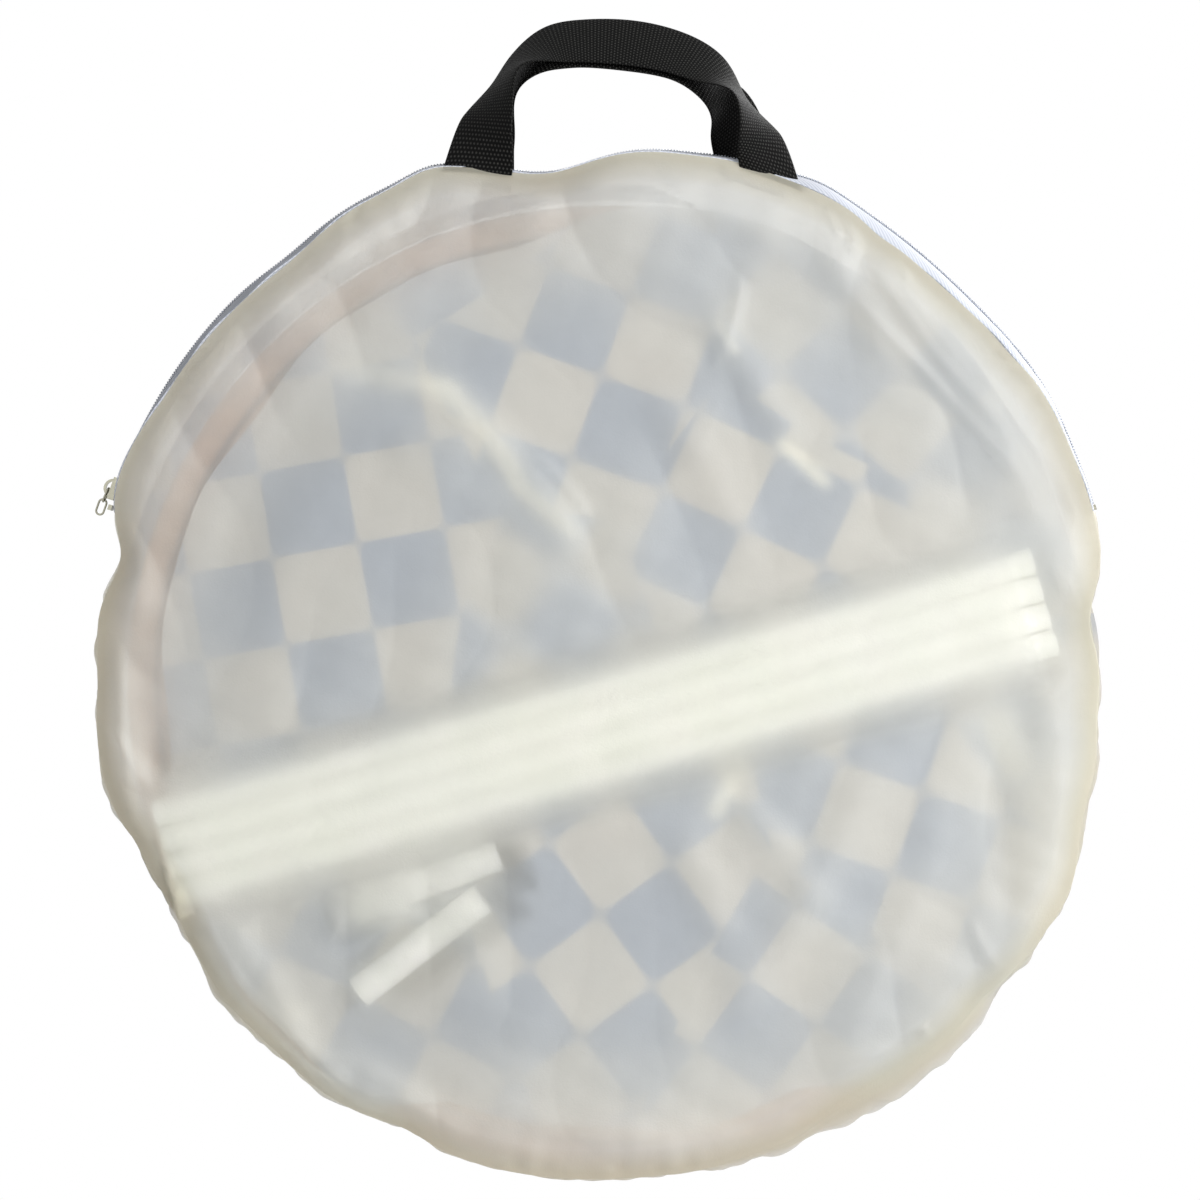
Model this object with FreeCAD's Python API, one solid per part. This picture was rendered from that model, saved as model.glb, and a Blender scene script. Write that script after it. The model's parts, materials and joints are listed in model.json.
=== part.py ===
"""A pop-up checked hoop cloth and its poles, packed flat in a round zip carry bag.

Millimetres, +Z up, +X to the right seen from the front, and the front faces -Y.
The origin is the grip: the point under the two webbing bands where the bag is carried.
Polar angles run round the bag's own axis, from +X, anticlockwise seen from the front.
"""
import FreeCAD
import Part
import math
import os

from FreeCAD import Vector

# ---- driving dimensions: bag ----
HANDLE_RISE = 35.0          # the seam's top up to the grip
SEAM_RADIUS = 225.0         # the panels' edge, sewn to the side strip and the zip
SEAM_HALF_WIDTH = 17.0      # from the mid plane to each panel's seam
SIDE_BULGE = 2.4            # how far the side strip and the tapes bow out between the seams
PANEL_CROWN = 5.0           # how far a panel stands forward of its seam
SHOULDER = 15.0             # width of the curve between the seam and the panel's flat
CLOTH = 0.6                 # bag cloth, with its coating and the air in its folds
SEAM_GAP = 0.3              # clearance between sewn pieces

# ---- driving dimensions: zip ----
ZIP_LEFT_DEG = 163.0
ZIP_RIGHT_DEG = 17.0
FOLD_LEFT_DEG = 155.0       # the front panel folds forward along the chord between these angles
SLIDER_REST_DEG = 160.6
COIL_GAP = 0.8              # mid plane to the inner edge of each coil and tape
COIL_WIDTH = 2.4
COIL_HEIGHT = 1.7
ZIP_CLEARANCE = 0.1         # tape to coil
PLATE = 1.2                 # slider's plates
SLIDER_LENGTH = 10.0
SLIDER_GAP = 0.3            # slider to coils and tapes
FLANGE = 0.9
NECK_HALF_WIDTH = 0.5
STOP_LENGTH_DEG = 0.6

# ---- driving dimensions: slider's bridge and pull ----
BRIDGE_LENGTH = 8.4
BRIDGE_HEIGHT = 3.5
BRIDGE_WIDTH = 2.4
BRIDGE_BAND = 1.1
WIRE = 0.9
RING_LENGTH = 6.5
RING_WIDTH = 4.0
RING_SEAT = 1.2             # ring's bar above the slider's outer plate
RING_OFFSET = 0.5           # ring's bar along the rim from the slider's middle
RING_LIFT_DEG = 4.0
LOOP_LENGTH = 7.0
LOOP_WIDTH = 3.4

# ---- driving dimensions: handles ----
WEBBING_WIDTH = 30.0
WEBBING = 1.3

# ---- driving dimensions: contents ----
HOOP_PLAY = 10.6            # room between the twisted-down hoop's sleeve and the side strip
TURN_SPREAD = 8.5           # how far the three turns lie in and out of their mean radius
TURN_DEPTH = 5.5            # how far they lie in front of and behind each other
TURNS = 3
HOOP_Y = 2.0
SLEEVE_WIDTH = 12.5
SLEEVE_THICK = 4.0
SLEEVE_CLOTH = 0.5
STRIP_WIDTH = 2.0
STRIP = 1.0
JOINER_LENGTH = 30.0
JOINER_WALL = 0.3
JOINER_DEG = 20.0
CONTENTS_X = 4.0
CLOTH_EDGE_GAP = 0.3        # folded cloth to the hoop's sleeve
CLOTH_EDGE = 20.0           # thickness of the folded cloth at its edge
CLOTH_FLAT = 145.0          # radius inside which the folded cloth fills the bag's depth
POLE = 12.0
POLE_END_ROOM = 11.7        # a pole's end corner to the seam's radius
POLE_WALL = 1.0
POLE_COUNT = 4
POLE_TILT_DEG = 16.1
POLE_RIGHT = 1.6            # the poles' middle from the bag's axis
POLE_BELOW = 29.3
POLE_GAP = 0.3
COUPLER_FIT = 0.2           # coupler's bore over the pole
COUPLER_WALL = 0.9
COUPLER_LENGTH = 68.0
COUPLERS = (                # left end's room to the cloth's edge, its angle, tilt, depth behind the panel
    (11.0, 230.8, 37.3, 0.3),
    (35.6, 221.3, 20.5, 3.3),
)

# ---- worked out from the above ----
GRIP_TO_CENTRE = SEAM_RADIUS + HANDLE_RISE
AXIS_POINT = Vector(0, 0, -GRIP_TO_CENTRE)
DISC_AXIS = Vector(0, -1, 0)
PANEL_Y = SEAM_HALF_WIDTH + PANEL_CROWN
RIM_RADIUS = SEAM_RADIUS + SIDE_BULGE
SIDE_HALF_WIDTH = SEAM_HALF_WIDTH - CLOTH - SEAM_GAP / 2
FOLD_RIGHT_DEG = 180.0 - FOLD_LEFT_DEG
FOLD_HEIGHT = SEAM_RADIUS * math.sin(math.radians(FOLD_LEFT_DEG))
FOLD_GAP_DEG = 0.1
COIL_BOTTOM = RIM_RADIUS + ZIP_CLEARANCE
COIL_TOP = COIL_BOTTOM + COIL_HEIGHT
COIL_EDGE = COIL_GAP + COIL_WIDTH
OUTER_PLATE = COIL_TOP + SLIDER_GAP
SLIDER_TOP = OUTER_PLATE + PLATE
INNER_PLATE = RIM_RADIUS - CLOTH - 2 * SLIDER_GAP
SLIDER_HALF_WIDTH = COIL_EDGE + SLIDER_GAP + FLANGE
COUPLER = POLE + COUPLER_FIT + 2 * COUPLER_WALL
INSIDE_Y = PANEL_Y - CLOTH
HANDLE_Y = SEAM_HALF_WIDTH + WEBBING / 2 + SEAM_GAP


def side_radius(y, inside=False):
    """Radius of the bowed side strip at a distance y from the mid plane."""
    half = SIDE_HALF_WIDTH
    bow = (half * half + SIDE_BULGE * SIDE_BULGE) / (2 * SIDE_BULGE)
    radius = RIM_RADIUS - bow + math.sqrt(bow * bow - y * y)
    return radius - CLOTH if inside else radius


SLEEVE_REACH = side_radius(HOOP_Y + SLEEVE_THICK / 2, inside=True) - SEAM_GAP - HOOP_PLAY
TURN_RADIUS = SLEEVE_REACH - SLEEVE_WIDTH / 2 - TURN_SPREAD
CONTENTS_DROP = math.sqrt(HOOP_PLAY * HOOP_PLAY - CONTENTS_X * CONTENTS_X)
CLOTH_RADIUS = TURN_RADIUS - TURN_SPREAD - SLEEVE_WIDTH / 2 - CLOTH_EDGE_GAP


def at_angle(shape, degrees):
    """Turn a shape anticlockwise round the bag's axis."""
    turned = shape.copy()
    turned.rotate(AXIS_POINT, DISC_AXIS, degrees)
    return turned


def disc_point(x, y, z):
    """A point given from the bag's axis."""
    return AXIS_POINT + Vector(x, y, z)


def revolved(edges, start=0.0, sweep=360.0):
    """Carry a closed profile, drawn in the radius and depth plane, round the bag's axis."""
    face = Part.Face(Part.Wire(edges))
    return at_angle(face.revolve(AXIS_POINT, DISC_AXIS, sweep), start)


def outline(points):
    """Straight edges through points (radius, y), closed."""
    corners = [disc_point(r, y, 0) for r, y in points]
    return [Part.makeLine(a, b) for a, b in zip(corners, corners[1:] + corners[:1])]


def arc(start, middle, end):
    """An edge through three points (radius, y)."""
    return Part.Arc(*[disc_point(r, y, 0) for r, y in (start, middle, end)]).toShape()


def line(start, end):
    """A straight edge between two points (radius, y)."""
    return Part.makeLine(disc_point(start[0], start[1], 0), disc_point(end[0], end[1], 0))


def side_band(y_low, y_high, start, end):
    """A stretch of the bowed side, between two depths and two angles."""
    middle = (y_low + y_high) / 2
    outer = [(side_radius(y), y) for y in (y_low, middle, y_high)]
    inner = [(side_radius(y, inside=True), y) for y in (y_high, middle, y_low)]
    edges = [arc(*outer), line(outer[2], inner[0]), arc(*inner), line(inner[2], outer[0])]
    return revolved(edges, start, end - start)


def shoulder(flat_radius, flat_y, reach, fall, inset=0.0):
    """Three points (radius, y) of the arc that leaves a flat and falls back over a reach."""
    bend = (reach * reach + fall * fall) / (2 * fall)
    turn = math.asin(reach / bend)
    points = []
    for angle in (0, turn / 2, turn):
        out = (bend - inset) * math.sin(angle)
        points.append((flat_radius + out, flat_y + bend - (bend - inset) * math.cos(angle)))
    return points


def panel():
    """The whole front panel: flat in the middle, with a round shoulder down to its seam."""
    flat = SEAM_RADIUS - SHOULDER
    outer = shoulder(flat, -PANEL_Y, SHOULDER, PANEL_CROWN)
    inner = shoulder(flat, -PANEL_Y, SHOULDER, PANEL_CROWN, inset=CLOTH)[::-1]
    edges = [
        line((0, -PANEL_Y), outer[0]),
        arc(*outer),
        line(outer[2], inner[0]),
        arc(*inner),
        line(inner[2], (0, -INSIDE_Y)),
        line((0, -INSIDE_Y), (0, -PANEL_Y)),
    ]
    return revolved(edges)


def above_fold(gap):
    """A block that holds everything above the front panel's fold."""
    size = 4 * SEAM_RADIUS
    return Part.makeBox(size, size, size, disc_point(-size / 2, -size / 2, FOLD_HEIGHT + gap))


def bag_panels():
    """Back panel, and the front panel on each side of its fold."""
    front = panel()
    back = front.mirror(AXIS_POINT, Vector(0, 1, 0))
    return {
        "back_panel": back,
        "front_panel_lower": front.cut(above_fold(-SEAM_GAP / 2)),
        "front_panel_upper": front.common(above_fold(SEAM_GAP / 2)),
    }


def coil(side, start, end):
    """One coil, on the outside of its tape's edge."""
    near, far = side * COIL_GAP, side * COIL_EDGE
    section = [(COIL_BOTTOM, near), (COIL_TOP, near), (COIL_TOP, far), (COIL_BOTTOM, far)]
    return revolved(outline(section), start, end - start)


def both_ends(make):
    """The two short stretches of the front zip that stay below the fold."""
    left = make(FOLD_LEFT_DEG + FOLD_GAP_DEG, ZIP_LEFT_DEG)
    right = make(ZIP_RIGHT_DEG, FOLD_RIGHT_DEG - FOLD_GAP_DEG)
    return Part.Compound([left, right])


def zip_pieces():
    """Side strip, tapes, coils and end stops."""
    coil_left = ZIP_LEFT_DEG - STOP_LENGTH_DEG - FOLD_GAP_DEG
    coil_right = ZIP_RIGHT_DEG + STOP_LENGTH_DEG + FOLD_GAP_DEG
    seam_deg = math.degrees(SEAM_GAP / RIM_RADIUS)
    gusset_start, gusset_end = ZIP_LEFT_DEG + seam_deg, 360 + ZIP_RIGHT_DEG - seam_deg

    def front_tape(start, end):
        return side_band(-SIDE_HALF_WIDTH, -COIL_GAP, start, end)

    def front_coil(start, end):
        return coil(-1, max(start, coil_right), min(end, coil_left))

    def stop(start):
        low, high = COIL_BOTTOM, COIL_TOP
        section = [(low, -COIL_EDGE), (high, -COIL_EDGE), (high, COIL_EDGE), (low, COIL_EDGE)]
        return revolved(outline(section), start, STOP_LENGTH_DEG)

    return {
        "gusset": side_band(-SIDE_HALF_WIDTH, SIDE_HALF_WIDTH, gusset_start, gusset_end),
        "zip_tape_back": side_band(COIL_GAP, SIDE_HALF_WIDTH, ZIP_RIGHT_DEG, ZIP_LEFT_DEG),
        "zip_tape_front": front_tape(FOLD_RIGHT_DEG, FOLD_LEFT_DEG),
        "zip_tape_front_ends": both_ends(front_tape),
        "zip_coil_back": coil(1, coil_right, coil_left),
        "zip_coil_front": front_coil(FOLD_RIGHT_DEG, FOLD_LEFT_DEG),
        "zip_coil_front_ends": both_ends(front_coil),
        "zip_stops": Part.Compound([stop(ZIP_RIGHT_DEG), stop(ZIP_LEFT_DEG - STOP_LENGTH_DEG)]),
    }


def slider_body():
    """Two plates joined by the neck, with side flanges that close over the coils."""
    half_deg = math.degrees(SLIDER_LENGTH / 2 / RIM_RADIUS)
    wide = SLIDER_HALF_WIDTH
    flange_foot = RIM_RADIUS + SLIDER_GAP
    slot = wide - FLANGE
    section = [
        (SLIDER_TOP, -wide), (SLIDER_TOP, wide), (flange_foot, wide), (flange_foot, slot),
        (OUTER_PLATE, slot), (OUTER_PLATE, NECK_HALF_WIDTH), (INNER_PLATE, NECK_HALF_WIDTH),
        (INNER_PLATE, wide), (INNER_PLATE - PLATE, wide), (INNER_PLATE - PLATE, -wide),
        (INNER_PLATE, -wide), (INNER_PLATE, -NECK_HALF_WIDTH), (OUTER_PLATE, -NECK_HALF_WIDTH),
        (OUTER_PLATE, -slot), (flange_foot, -slot), (flange_foot, -wide),
    ]
    return revolved(outline(section), SLIDER_REST_DEG - half_deg, 2 * half_deg)


def slider_point(along, height, y=0.0):
    """A point by the slider: along the rim, and above the slider's plate, seen at the top."""
    return disc_point(-along, y, SLIDER_TOP + height)


def slider_bridge():
    """The arch that carries the pull, on the slider's outer plate."""
    half, rise = BRIDGE_LENGTH / 2, BRIDGE_HEIGHT
    inner_half, inner_rise = half - BRIDGE_BAND, rise - BRIDGE_BAND
    y = -BRIDGE_WIDTH / 2

    def edge(points, curved):
        ends = [slider_point(a, h, y) for a, h in points]
        return Part.Arc(*ends).toShape() if curved else Part.makeLine(*ends)

    edges = [
        edge([(-half, 0), (0, rise), (half, 0)], True),
        edge([(half, 0), (inner_half, 0)], False),
        edge([(inner_half, 0), (0, inner_rise), (-inner_half, 0)], True),
        edge([(-inner_half, 0), (-half, 0)], False),
    ]
    arch = Part.Face(Part.Wire(edges)).extrude(Vector(0, BRIDGE_WIDTH, 0))
    return at_angle(arch, SLIDER_REST_DEG - 90)


def wire_link(centre, long_way, wide_way, length, width):
    """A closed link of round wire: two straight legs joined by half circles."""
    r = width / 2
    leg = max(length / 2 - r, 0.1)
    far, near = centre + long_way * leg, centre - long_way * leg
    side = wide_way * r
    path = Part.Wire([
        Part.makeLine(near + side, far + side),
        Part.Arc(far + side, far + long_way * r, far - side).toShape(),
        Part.makeLine(far - side, near - side),
        Part.Arc(near - side, near - long_way * r, near + side).toShape(),
    ])
    start = Part.Wire(Part.makeCircle(WIRE / 2, near + side, long_way))
    return path.makePipeShell([start], True, True)


def pull_frame():
    """Bar of the ring, direction of the ring and of the loop, in the slider's own frame."""
    bar = slider_point(RING_OFFSET, RING_SEAT)
    return bar, way_at(180 - RING_LIFT_DEG), way_at(180)


def pull_pieces():
    """The ring through the bridge, and the loop that hangs in the ring."""
    bar, ring_way, loop_way = pull_frame()
    across = Vector(0, 1, 0)
    ring_middle = bar + ring_way * (RING_LENGTH / 2)
    ring = wire_link(ring_middle, ring_way, across, RING_LENGTH, RING_WIDTH)
    far_bar = bar + ring_way * RING_LENGTH
    sideways = loop_way.cross(across)
    offset = LOOP_LENGTH / 2 - 1.1 * WIRE
    loop = wire_link(far_bar + loop_way * offset, loop_way, sideways, LOOP_LENGTH, LOOP_WIDTH)
    turn = SLIDER_REST_DEG - 90
    return {"pull_ring": at_angle(ring, turn), "pull_loop": at_angle(loop, turn)}


def skinned(rails, closed):
    """A solid whose long edges are the rails: smooth curves through lists of points."""
    steps = [float(i) for i in range(len(rails[0]) + (1 if closed else 0))]
    curves = []
    for points in rails:
        curve = Part.BSplineCurve()
        curve.interpolate(Points=points, PeriodicFlag=closed, Parameters=steps)
        curves.append(curve.toShape())
    faces = [Part.makeRuledSurface(a, b) for a, b in zip(curves, curves[1:] + curves[:1])]
    if not closed:
        for end in (0, -1):
            corners = [points[end] for points in rails]
            faces.append(Part.Face(Part.makePolygon(corners + corners[:1])))
    shell = Part.makeCompound(faces)
    shell.sewShape()
    solid = Part.Solid(shell.Shells[0])
    if solid.Volume < 0:
        solid.reverse()
    return solid


def hoop_point(turn_deg, outward, sideways):
    """A point on the twisted-down hoop, given by the angle along all its turns."""
    phase = math.radians((turn_deg - 270.0) / TURNS)
    angle = math.radians(turn_deg)
    radius = TURN_RADIUS + TURN_SPREAD * math.cos(phase) + outward
    y = HOOP_Y + TURN_DEPTH * math.sin(phase) + sideways
    return disc_point(CONTENTS_X + radius * math.cos(angle), y,
                      radius * math.sin(angle) - CONTENTS_DROP)


def hoop_band(section, start=None, end=None):
    """Carry a section (outward, sideways) along the hoop, all the way or between two angles."""
    if start is None:
        step = 15.0
        angles = [i * step for i in range(int(360 * TURNS / step))]
    else:
        angles = [start + (end - start) * i / 6 for i in range(7)]
    rails = [[hoop_point(a, u, v) for a in angles] for u, v in section]
    return skinned(rails, closed=start is None)


def rectangle(low, high, half_width):
    """Corners of a rectangular section."""
    return [(low, -half_width), (high, -half_width), (high, half_width), (low, half_width)]


def hoop_pieces():
    """Steel strip in three turns, the ferrule that closes it, and its cloth sleeve."""
    half, thick = SLEEVE_WIDTH / 2, SLEEVE_THICK / 2
    inner, fold = thick - SLEEVE_CLOTH, half - SLEEVE_CLOTH
    sleeve = [(half, -thick), (half, thick), (-half, thick), (-half, inner),
              (fold, inner), (fold, -inner), (-half, -inner), (-half, -thick)]
    grip = (thick - SLEEVE_CLOTH - STRIP_WIDTH / 2 - JOINER_WALL) / 2
    strip_high = fold - JOINER_WALL - 2 * grip
    strip_low = strip_high - STRIP
    arc_deg = math.degrees(JOINER_LENGTH / TURN_RADIUS) / 2
    start, end = JOINER_DEG - arc_deg, JOINER_DEG + arc_deg
    outside = rectangle(strip_low - grip - JOINER_WALL, strip_high + grip + JOINER_WALL,
                        STRIP_WIDTH / 2 + grip + JOINER_WALL)
    hole = rectangle(strip_low - grip, strip_high + grip, STRIP_WIDTH / 2 + grip)
    ferrule = hoop_band(outside, start, end).cut(hoop_band(hole, start - 1, end + 1))
    return {
        "hoop_sleeve": hoop_band(sleeve),
        "hoop_spring": hoop_band(rectangle(strip_low, strip_high, STRIP_WIDTH / 2)),
        "hoop_joiner": ferrule,
    }


def tube(diameter, wall, length, start, way):
    """A plain tube with open ends."""
    outer = Part.makeCylinder(diameter / 2, length, start, way)
    return outer.cut(Part.makeCylinder(diameter / 2 - wall, length, start, way))


def pocket(diameter, length, start, way):
    """The trough that a tube presses into the folded cloth, open to the front."""
    r = diameter / 2 + POLE_GAP
    begin = start - way * POLE_GAP
    long = length + 2 * POLE_GAP
    trough = Part.makeCylinder(r, long, begin, way)
    up = way.cross(Vector(0, 1, 0))
    side = up * r
    front = Vector(0, -2 * SEAM_HALF_WIDTH, 0)
    corners = [begin - side, begin - side + front, begin + side + front, begin + side]
    slot = Part.Face(Part.makePolygon(corners + corners[:1])).extrude(way * long)
    return trough.fuse(slot)


def way_at(degrees):
    """A direction in the plane of the bag."""
    return Vector(math.cos(math.radians(degrees)), 0, math.sin(math.radians(degrees)))


def tube_places():
    """Name, diameter, wall, length, start and direction of each tube."""
    places = []
    way = way_at(POLE_TILT_DEG)
    up = way_at(POLE_TILT_DEG + 90)
    centre = Vector(POLE_RIGHT, -INSIDE_Y + POLE_GAP + POLE / 2, -POLE_BELOW)
    low = abs(centre.dot(up)) + (POLE_COUNT * POLE + (POLE_COUNT - 1) * POLE_GAP) / 2
    reach = SEAM_RADIUS - POLE_END_ROOM
    length = 2 * (math.sqrt(reach * reach - low * low) - abs(centre.dot(way)))
    for i in range(POLE_COUNT):
        shift = ((POLE_COUNT - 1) / 2 - i) * (POLE + POLE_GAP)
        start = AXIS_POINT + centre + up * shift - way * (length / 2)
        places.append((f"pole_tube_{i + 1}", POLE, POLE_WALL, length, start, way))
    for i, (room, angle, tilt, depth) in enumerate(COUPLERS):
        end = way_at(angle) * (CLOTH_RADIUS - room)
        start = disc_point(CONTENTS_X + end.x, -INSIDE_Y + depth + COUPLER / 2, end.z - CONTENTS_DROP)
        places.append((f"pole_coupler_{i + 1}", COUPLER, COUPLER_WALL, COUPLER_LENGTH, start,
                       way_at(tilt)))
    return places


def tubes_and_cloth():
    """The tubes, and the folded cloth with the troughs that they lie in."""
    front, reach = -INSIDE_Y + SEAM_GAP, CLOTH_RADIUS - CLOTH_FLAT
    fall = -CLOTH_EDGE / 2 - front
    top = shoulder(CLOTH_FLAT, front, reach, fall)
    under = [(r, -y) for r, y in top[::-1]]
    edges = [
        line((0, front), top[0]),
        arc(*top),
        line(top[2], under[0]),
        arc(*under),
        line(under[2], (0, -front)),
        line((0, -front), (0, front)),
    ]
    cloth = revolved(edges)
    cloth.translate(Vector(CONTENTS_X, 0, -CONTENTS_DROP))
    pieces = {}
    for name, diameter, wall, length, start, way in tube_places():
        pieces[name] = tube(diameter, wall, length, start, way)
        cloth = cloth.cut(pocket(diameter, length, start, way))
    pieces["folded_cloth"] = cloth
    return pieces


# Each station of a handle: middle of the webbing (x, y, z), and the direction across it.
# Its two ends are worked out from where they are sewn into the seam.
FRONT_ENDS = (-56.4, 75.2)
FRONT_HANDLE = (
    ((-50.5, -16.4, -22.0), (-0.76, 0.62, 0.04)),
    ((-43.5, -12.6, -4.0), (-0.30, 0.95, 0.15)),
    ((-34.5, -9.6, 6.8), (-0.15, 0.95, 0.28)),
    ((-23.0, -8.2, 12.4), (-0.05, 0.88, 0.46)),
    ((-9.0, -7.6, 14.8), (0.00, 0.80, 0.60)),
    ((12.0, -7.6, 13.8), (0.05, 0.74, 0.67)),
    ((34.0, -8.0, 8.8), (0.22, 0.76, 0.61)),
    ((49.0, -9.2, 0.6), (0.26, 0.86, 0.43)),
    ((60.0, -11.2, -9.8), (0.20, 0.97, 0.14)),
    ((68.0, -14.6, -24.0), (0.55, 0.80, -0.05)),
)
BACK_ENDS = (-57.6, 69.6)
BACK_HANDLE = (
    ((-50.0, 14.8, -24.0), (-0.80, 0.60, 0.04)),
    ((-41.0, 4.2, -6.0), (-0.30, 0.95, 0.10)),
    ((-32.0, -3.4, 4.4), (-0.12, 0.95, 0.26)),
    ((-21.6, -5.2, 9.8), (-0.05, 0.88, 0.46)),
    ((-8.6, -5.2, 12.9), (0.00, 0.80, 0.60)),
    ((10.6, -5.0, 11.9), (0.05, 0.74, 0.67)),
    ((31.4, -5.2, 6.9), (0.22, 0.76, 0.61)),
    ((45.2, -4.6, -2.2), (0.24, 0.88, 0.40)),
    ((54.6, 0.6, -13.0), (0.24, 0.96, 0.10)),
    ((61.6, 10.6, -27.0), (0.60, 0.80, -0.10)),
)


def sewn_end(x, side):
    """Middle of a webbing end where it leaves the seam, and the seam's direction there."""
    radius = SEAM_RADIUS + SEAM_GAP
    height = math.sqrt(radius * radius - x * x)
    place = disc_point(x, side * HANDLE_Y, height)
    outward = math.copysign(1, x)
    return place, (outward * height, 0, -abs(x))


def with_ends(ends, stations, side):
    """The stations with the two sewn ends before and after them."""
    return (sewn_end(ends[0], side),) + stations + (sewn_end(ends[1], side),)


def handle(stations):
    """Webbing carried through its stations, with its flat turning as the band twists."""
    centres = [Vector(*place) for place, _ in stations]
    rails = [[], [], [], []]
    for i, (_, across) in enumerate(stations):
        before, after = centres[max(i - 1, 0)], centres[min(i + 1, len(centres) - 1)]
        wide = Vector(*across).normalize()
        flat = (after - before).cross(wide).normalize()
        wide = wide * (WEBBING_WIDTH / 2)
        flat = flat * (WEBBING / 2)
        for rail, corner in zip(rails, (wide + flat, flat - wide, -wide - flat, wide - flat)):
            rail.append(centres[i] + corner)
    return skinned(rails, closed=False)


def build():
    """Every piece by name."""
    pieces = {}
    pieces.update(bag_panels())
    pieces.update(zip_pieces())
    pieces["slider_body"] = slider_body()
    pieces["slider_bridge"] = slider_bridge()
    pieces.update(pull_pieces())
    pieces["front_handle"] = handle(with_ends(FRONT_ENDS, FRONT_HANDLE, -1))
    pieces["back_handle"] = handle(with_ends(BACK_ENDS, BACK_HANDLE, 1))
    pieces.update(hoop_pieces())
    pieces.update(tubes_and_cloth())
    return pieces


os.makedirs("parts", exist_ok=True)
for name, shape in build().items():
    shape.exportStep(f"parts/{name}.step")
    print(name, len(shape.Solids), shape.isValid(), round(shape.Volume, 1))

bar, ring_way, _ = pull_frame()
turn = SLIDER_REST_DEG - 90
for name, point in (("ring bar", bar), ("loop bar", bar + ring_way * RING_LENGTH)):
    place = at_angle(Part.Vertex(point), turn).Point
    print(name, [round(v, 3) for v in place])
for name, ends, side in (("front", FRONT_ENDS, -1), ("back", BACK_ENDS, 1)):
    print(name, "handle ends", [[round(v, 3) for v in sewn_end(x, side)[0]] for x in ends])
print("fold height", FOLD_HEIGHT, "turn radius", TURN_RADIUS, "contents drop", CONTENTS_DROP)
print("pole length", tube_places()[0][3])
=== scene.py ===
"""Dresses a pop-up checked hoop cloth and its poles, packed flat in a round see-through zip bag.

Metres, +Z up, +X to the right seen from the front, and the front faces -Y. The origin is the grip.
Angles run round the bag's own axis, from +X, anticlockwise seen from the front.
"""
from __future__ import annotations

import json
import logging
import math
from collections.abc import Callable
from dataclasses import dataclass, field
from enum import Enum
from functools import partial

import bpy
import numpy as np
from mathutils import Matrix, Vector

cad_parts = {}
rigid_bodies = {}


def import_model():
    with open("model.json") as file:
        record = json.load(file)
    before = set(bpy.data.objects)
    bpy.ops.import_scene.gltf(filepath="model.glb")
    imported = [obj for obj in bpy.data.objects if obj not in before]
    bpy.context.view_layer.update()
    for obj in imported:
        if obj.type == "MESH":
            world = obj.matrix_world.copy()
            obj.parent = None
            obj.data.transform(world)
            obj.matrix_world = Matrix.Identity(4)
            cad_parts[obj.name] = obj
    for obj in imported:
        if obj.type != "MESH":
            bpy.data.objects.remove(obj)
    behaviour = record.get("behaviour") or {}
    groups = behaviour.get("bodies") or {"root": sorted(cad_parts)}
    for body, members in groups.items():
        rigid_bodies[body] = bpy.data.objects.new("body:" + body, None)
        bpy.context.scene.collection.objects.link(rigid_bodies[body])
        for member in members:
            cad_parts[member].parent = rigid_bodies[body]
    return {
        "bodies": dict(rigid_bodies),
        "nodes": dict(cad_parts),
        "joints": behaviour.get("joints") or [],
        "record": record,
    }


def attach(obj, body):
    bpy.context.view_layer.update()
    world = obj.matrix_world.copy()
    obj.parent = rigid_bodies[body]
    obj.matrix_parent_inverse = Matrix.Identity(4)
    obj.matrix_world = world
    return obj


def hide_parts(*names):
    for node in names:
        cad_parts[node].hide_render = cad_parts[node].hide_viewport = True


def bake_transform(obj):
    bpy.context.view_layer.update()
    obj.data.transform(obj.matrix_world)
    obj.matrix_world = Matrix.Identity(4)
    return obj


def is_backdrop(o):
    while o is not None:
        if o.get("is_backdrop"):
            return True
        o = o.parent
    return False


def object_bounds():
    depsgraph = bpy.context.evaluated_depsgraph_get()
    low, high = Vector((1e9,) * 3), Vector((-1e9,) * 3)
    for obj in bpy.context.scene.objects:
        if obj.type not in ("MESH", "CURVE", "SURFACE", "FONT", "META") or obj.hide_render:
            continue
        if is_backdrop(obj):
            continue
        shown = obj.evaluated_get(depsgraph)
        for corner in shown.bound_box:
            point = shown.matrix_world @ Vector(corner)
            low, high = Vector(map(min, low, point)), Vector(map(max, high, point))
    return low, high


MM = 0.001
AXIS_HEIGHT = -260 * MM
ZIP_LEFT, ZIP_RIGHT = math.radians(163), math.radians(17)
# at scale 1 a wave texture's bands lie this far apart
WAVE_SCALE = 0.314
LOG = logging.getLogger("hoop_cloth_bag")
Array = np.ndarray
Pair = tuple[float, float]
Triple = tuple[float, float, float]
Socket = bpy.types.NodeSocket
Adder = Callable[..., Socket]


# ---------------------------------------------------------------- small tools

def linear(hex_colour: str) -> tuple[float, float, float, float]:
    """Turn six hex digits of sRGB colour to linear light: a line to 0.04045, then a power of 2.4."""
    parts = [int(hex_colour[i:i + 2], 16) / 255 for i in (0, 2, 4)]
    bright = [p / 12.92 if p <= 0.04045 else ((p + 0.055) / 1.055) ** 2.4 for p in parts]
    return bright[0], bright[1], bright[2], 1.0


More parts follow.
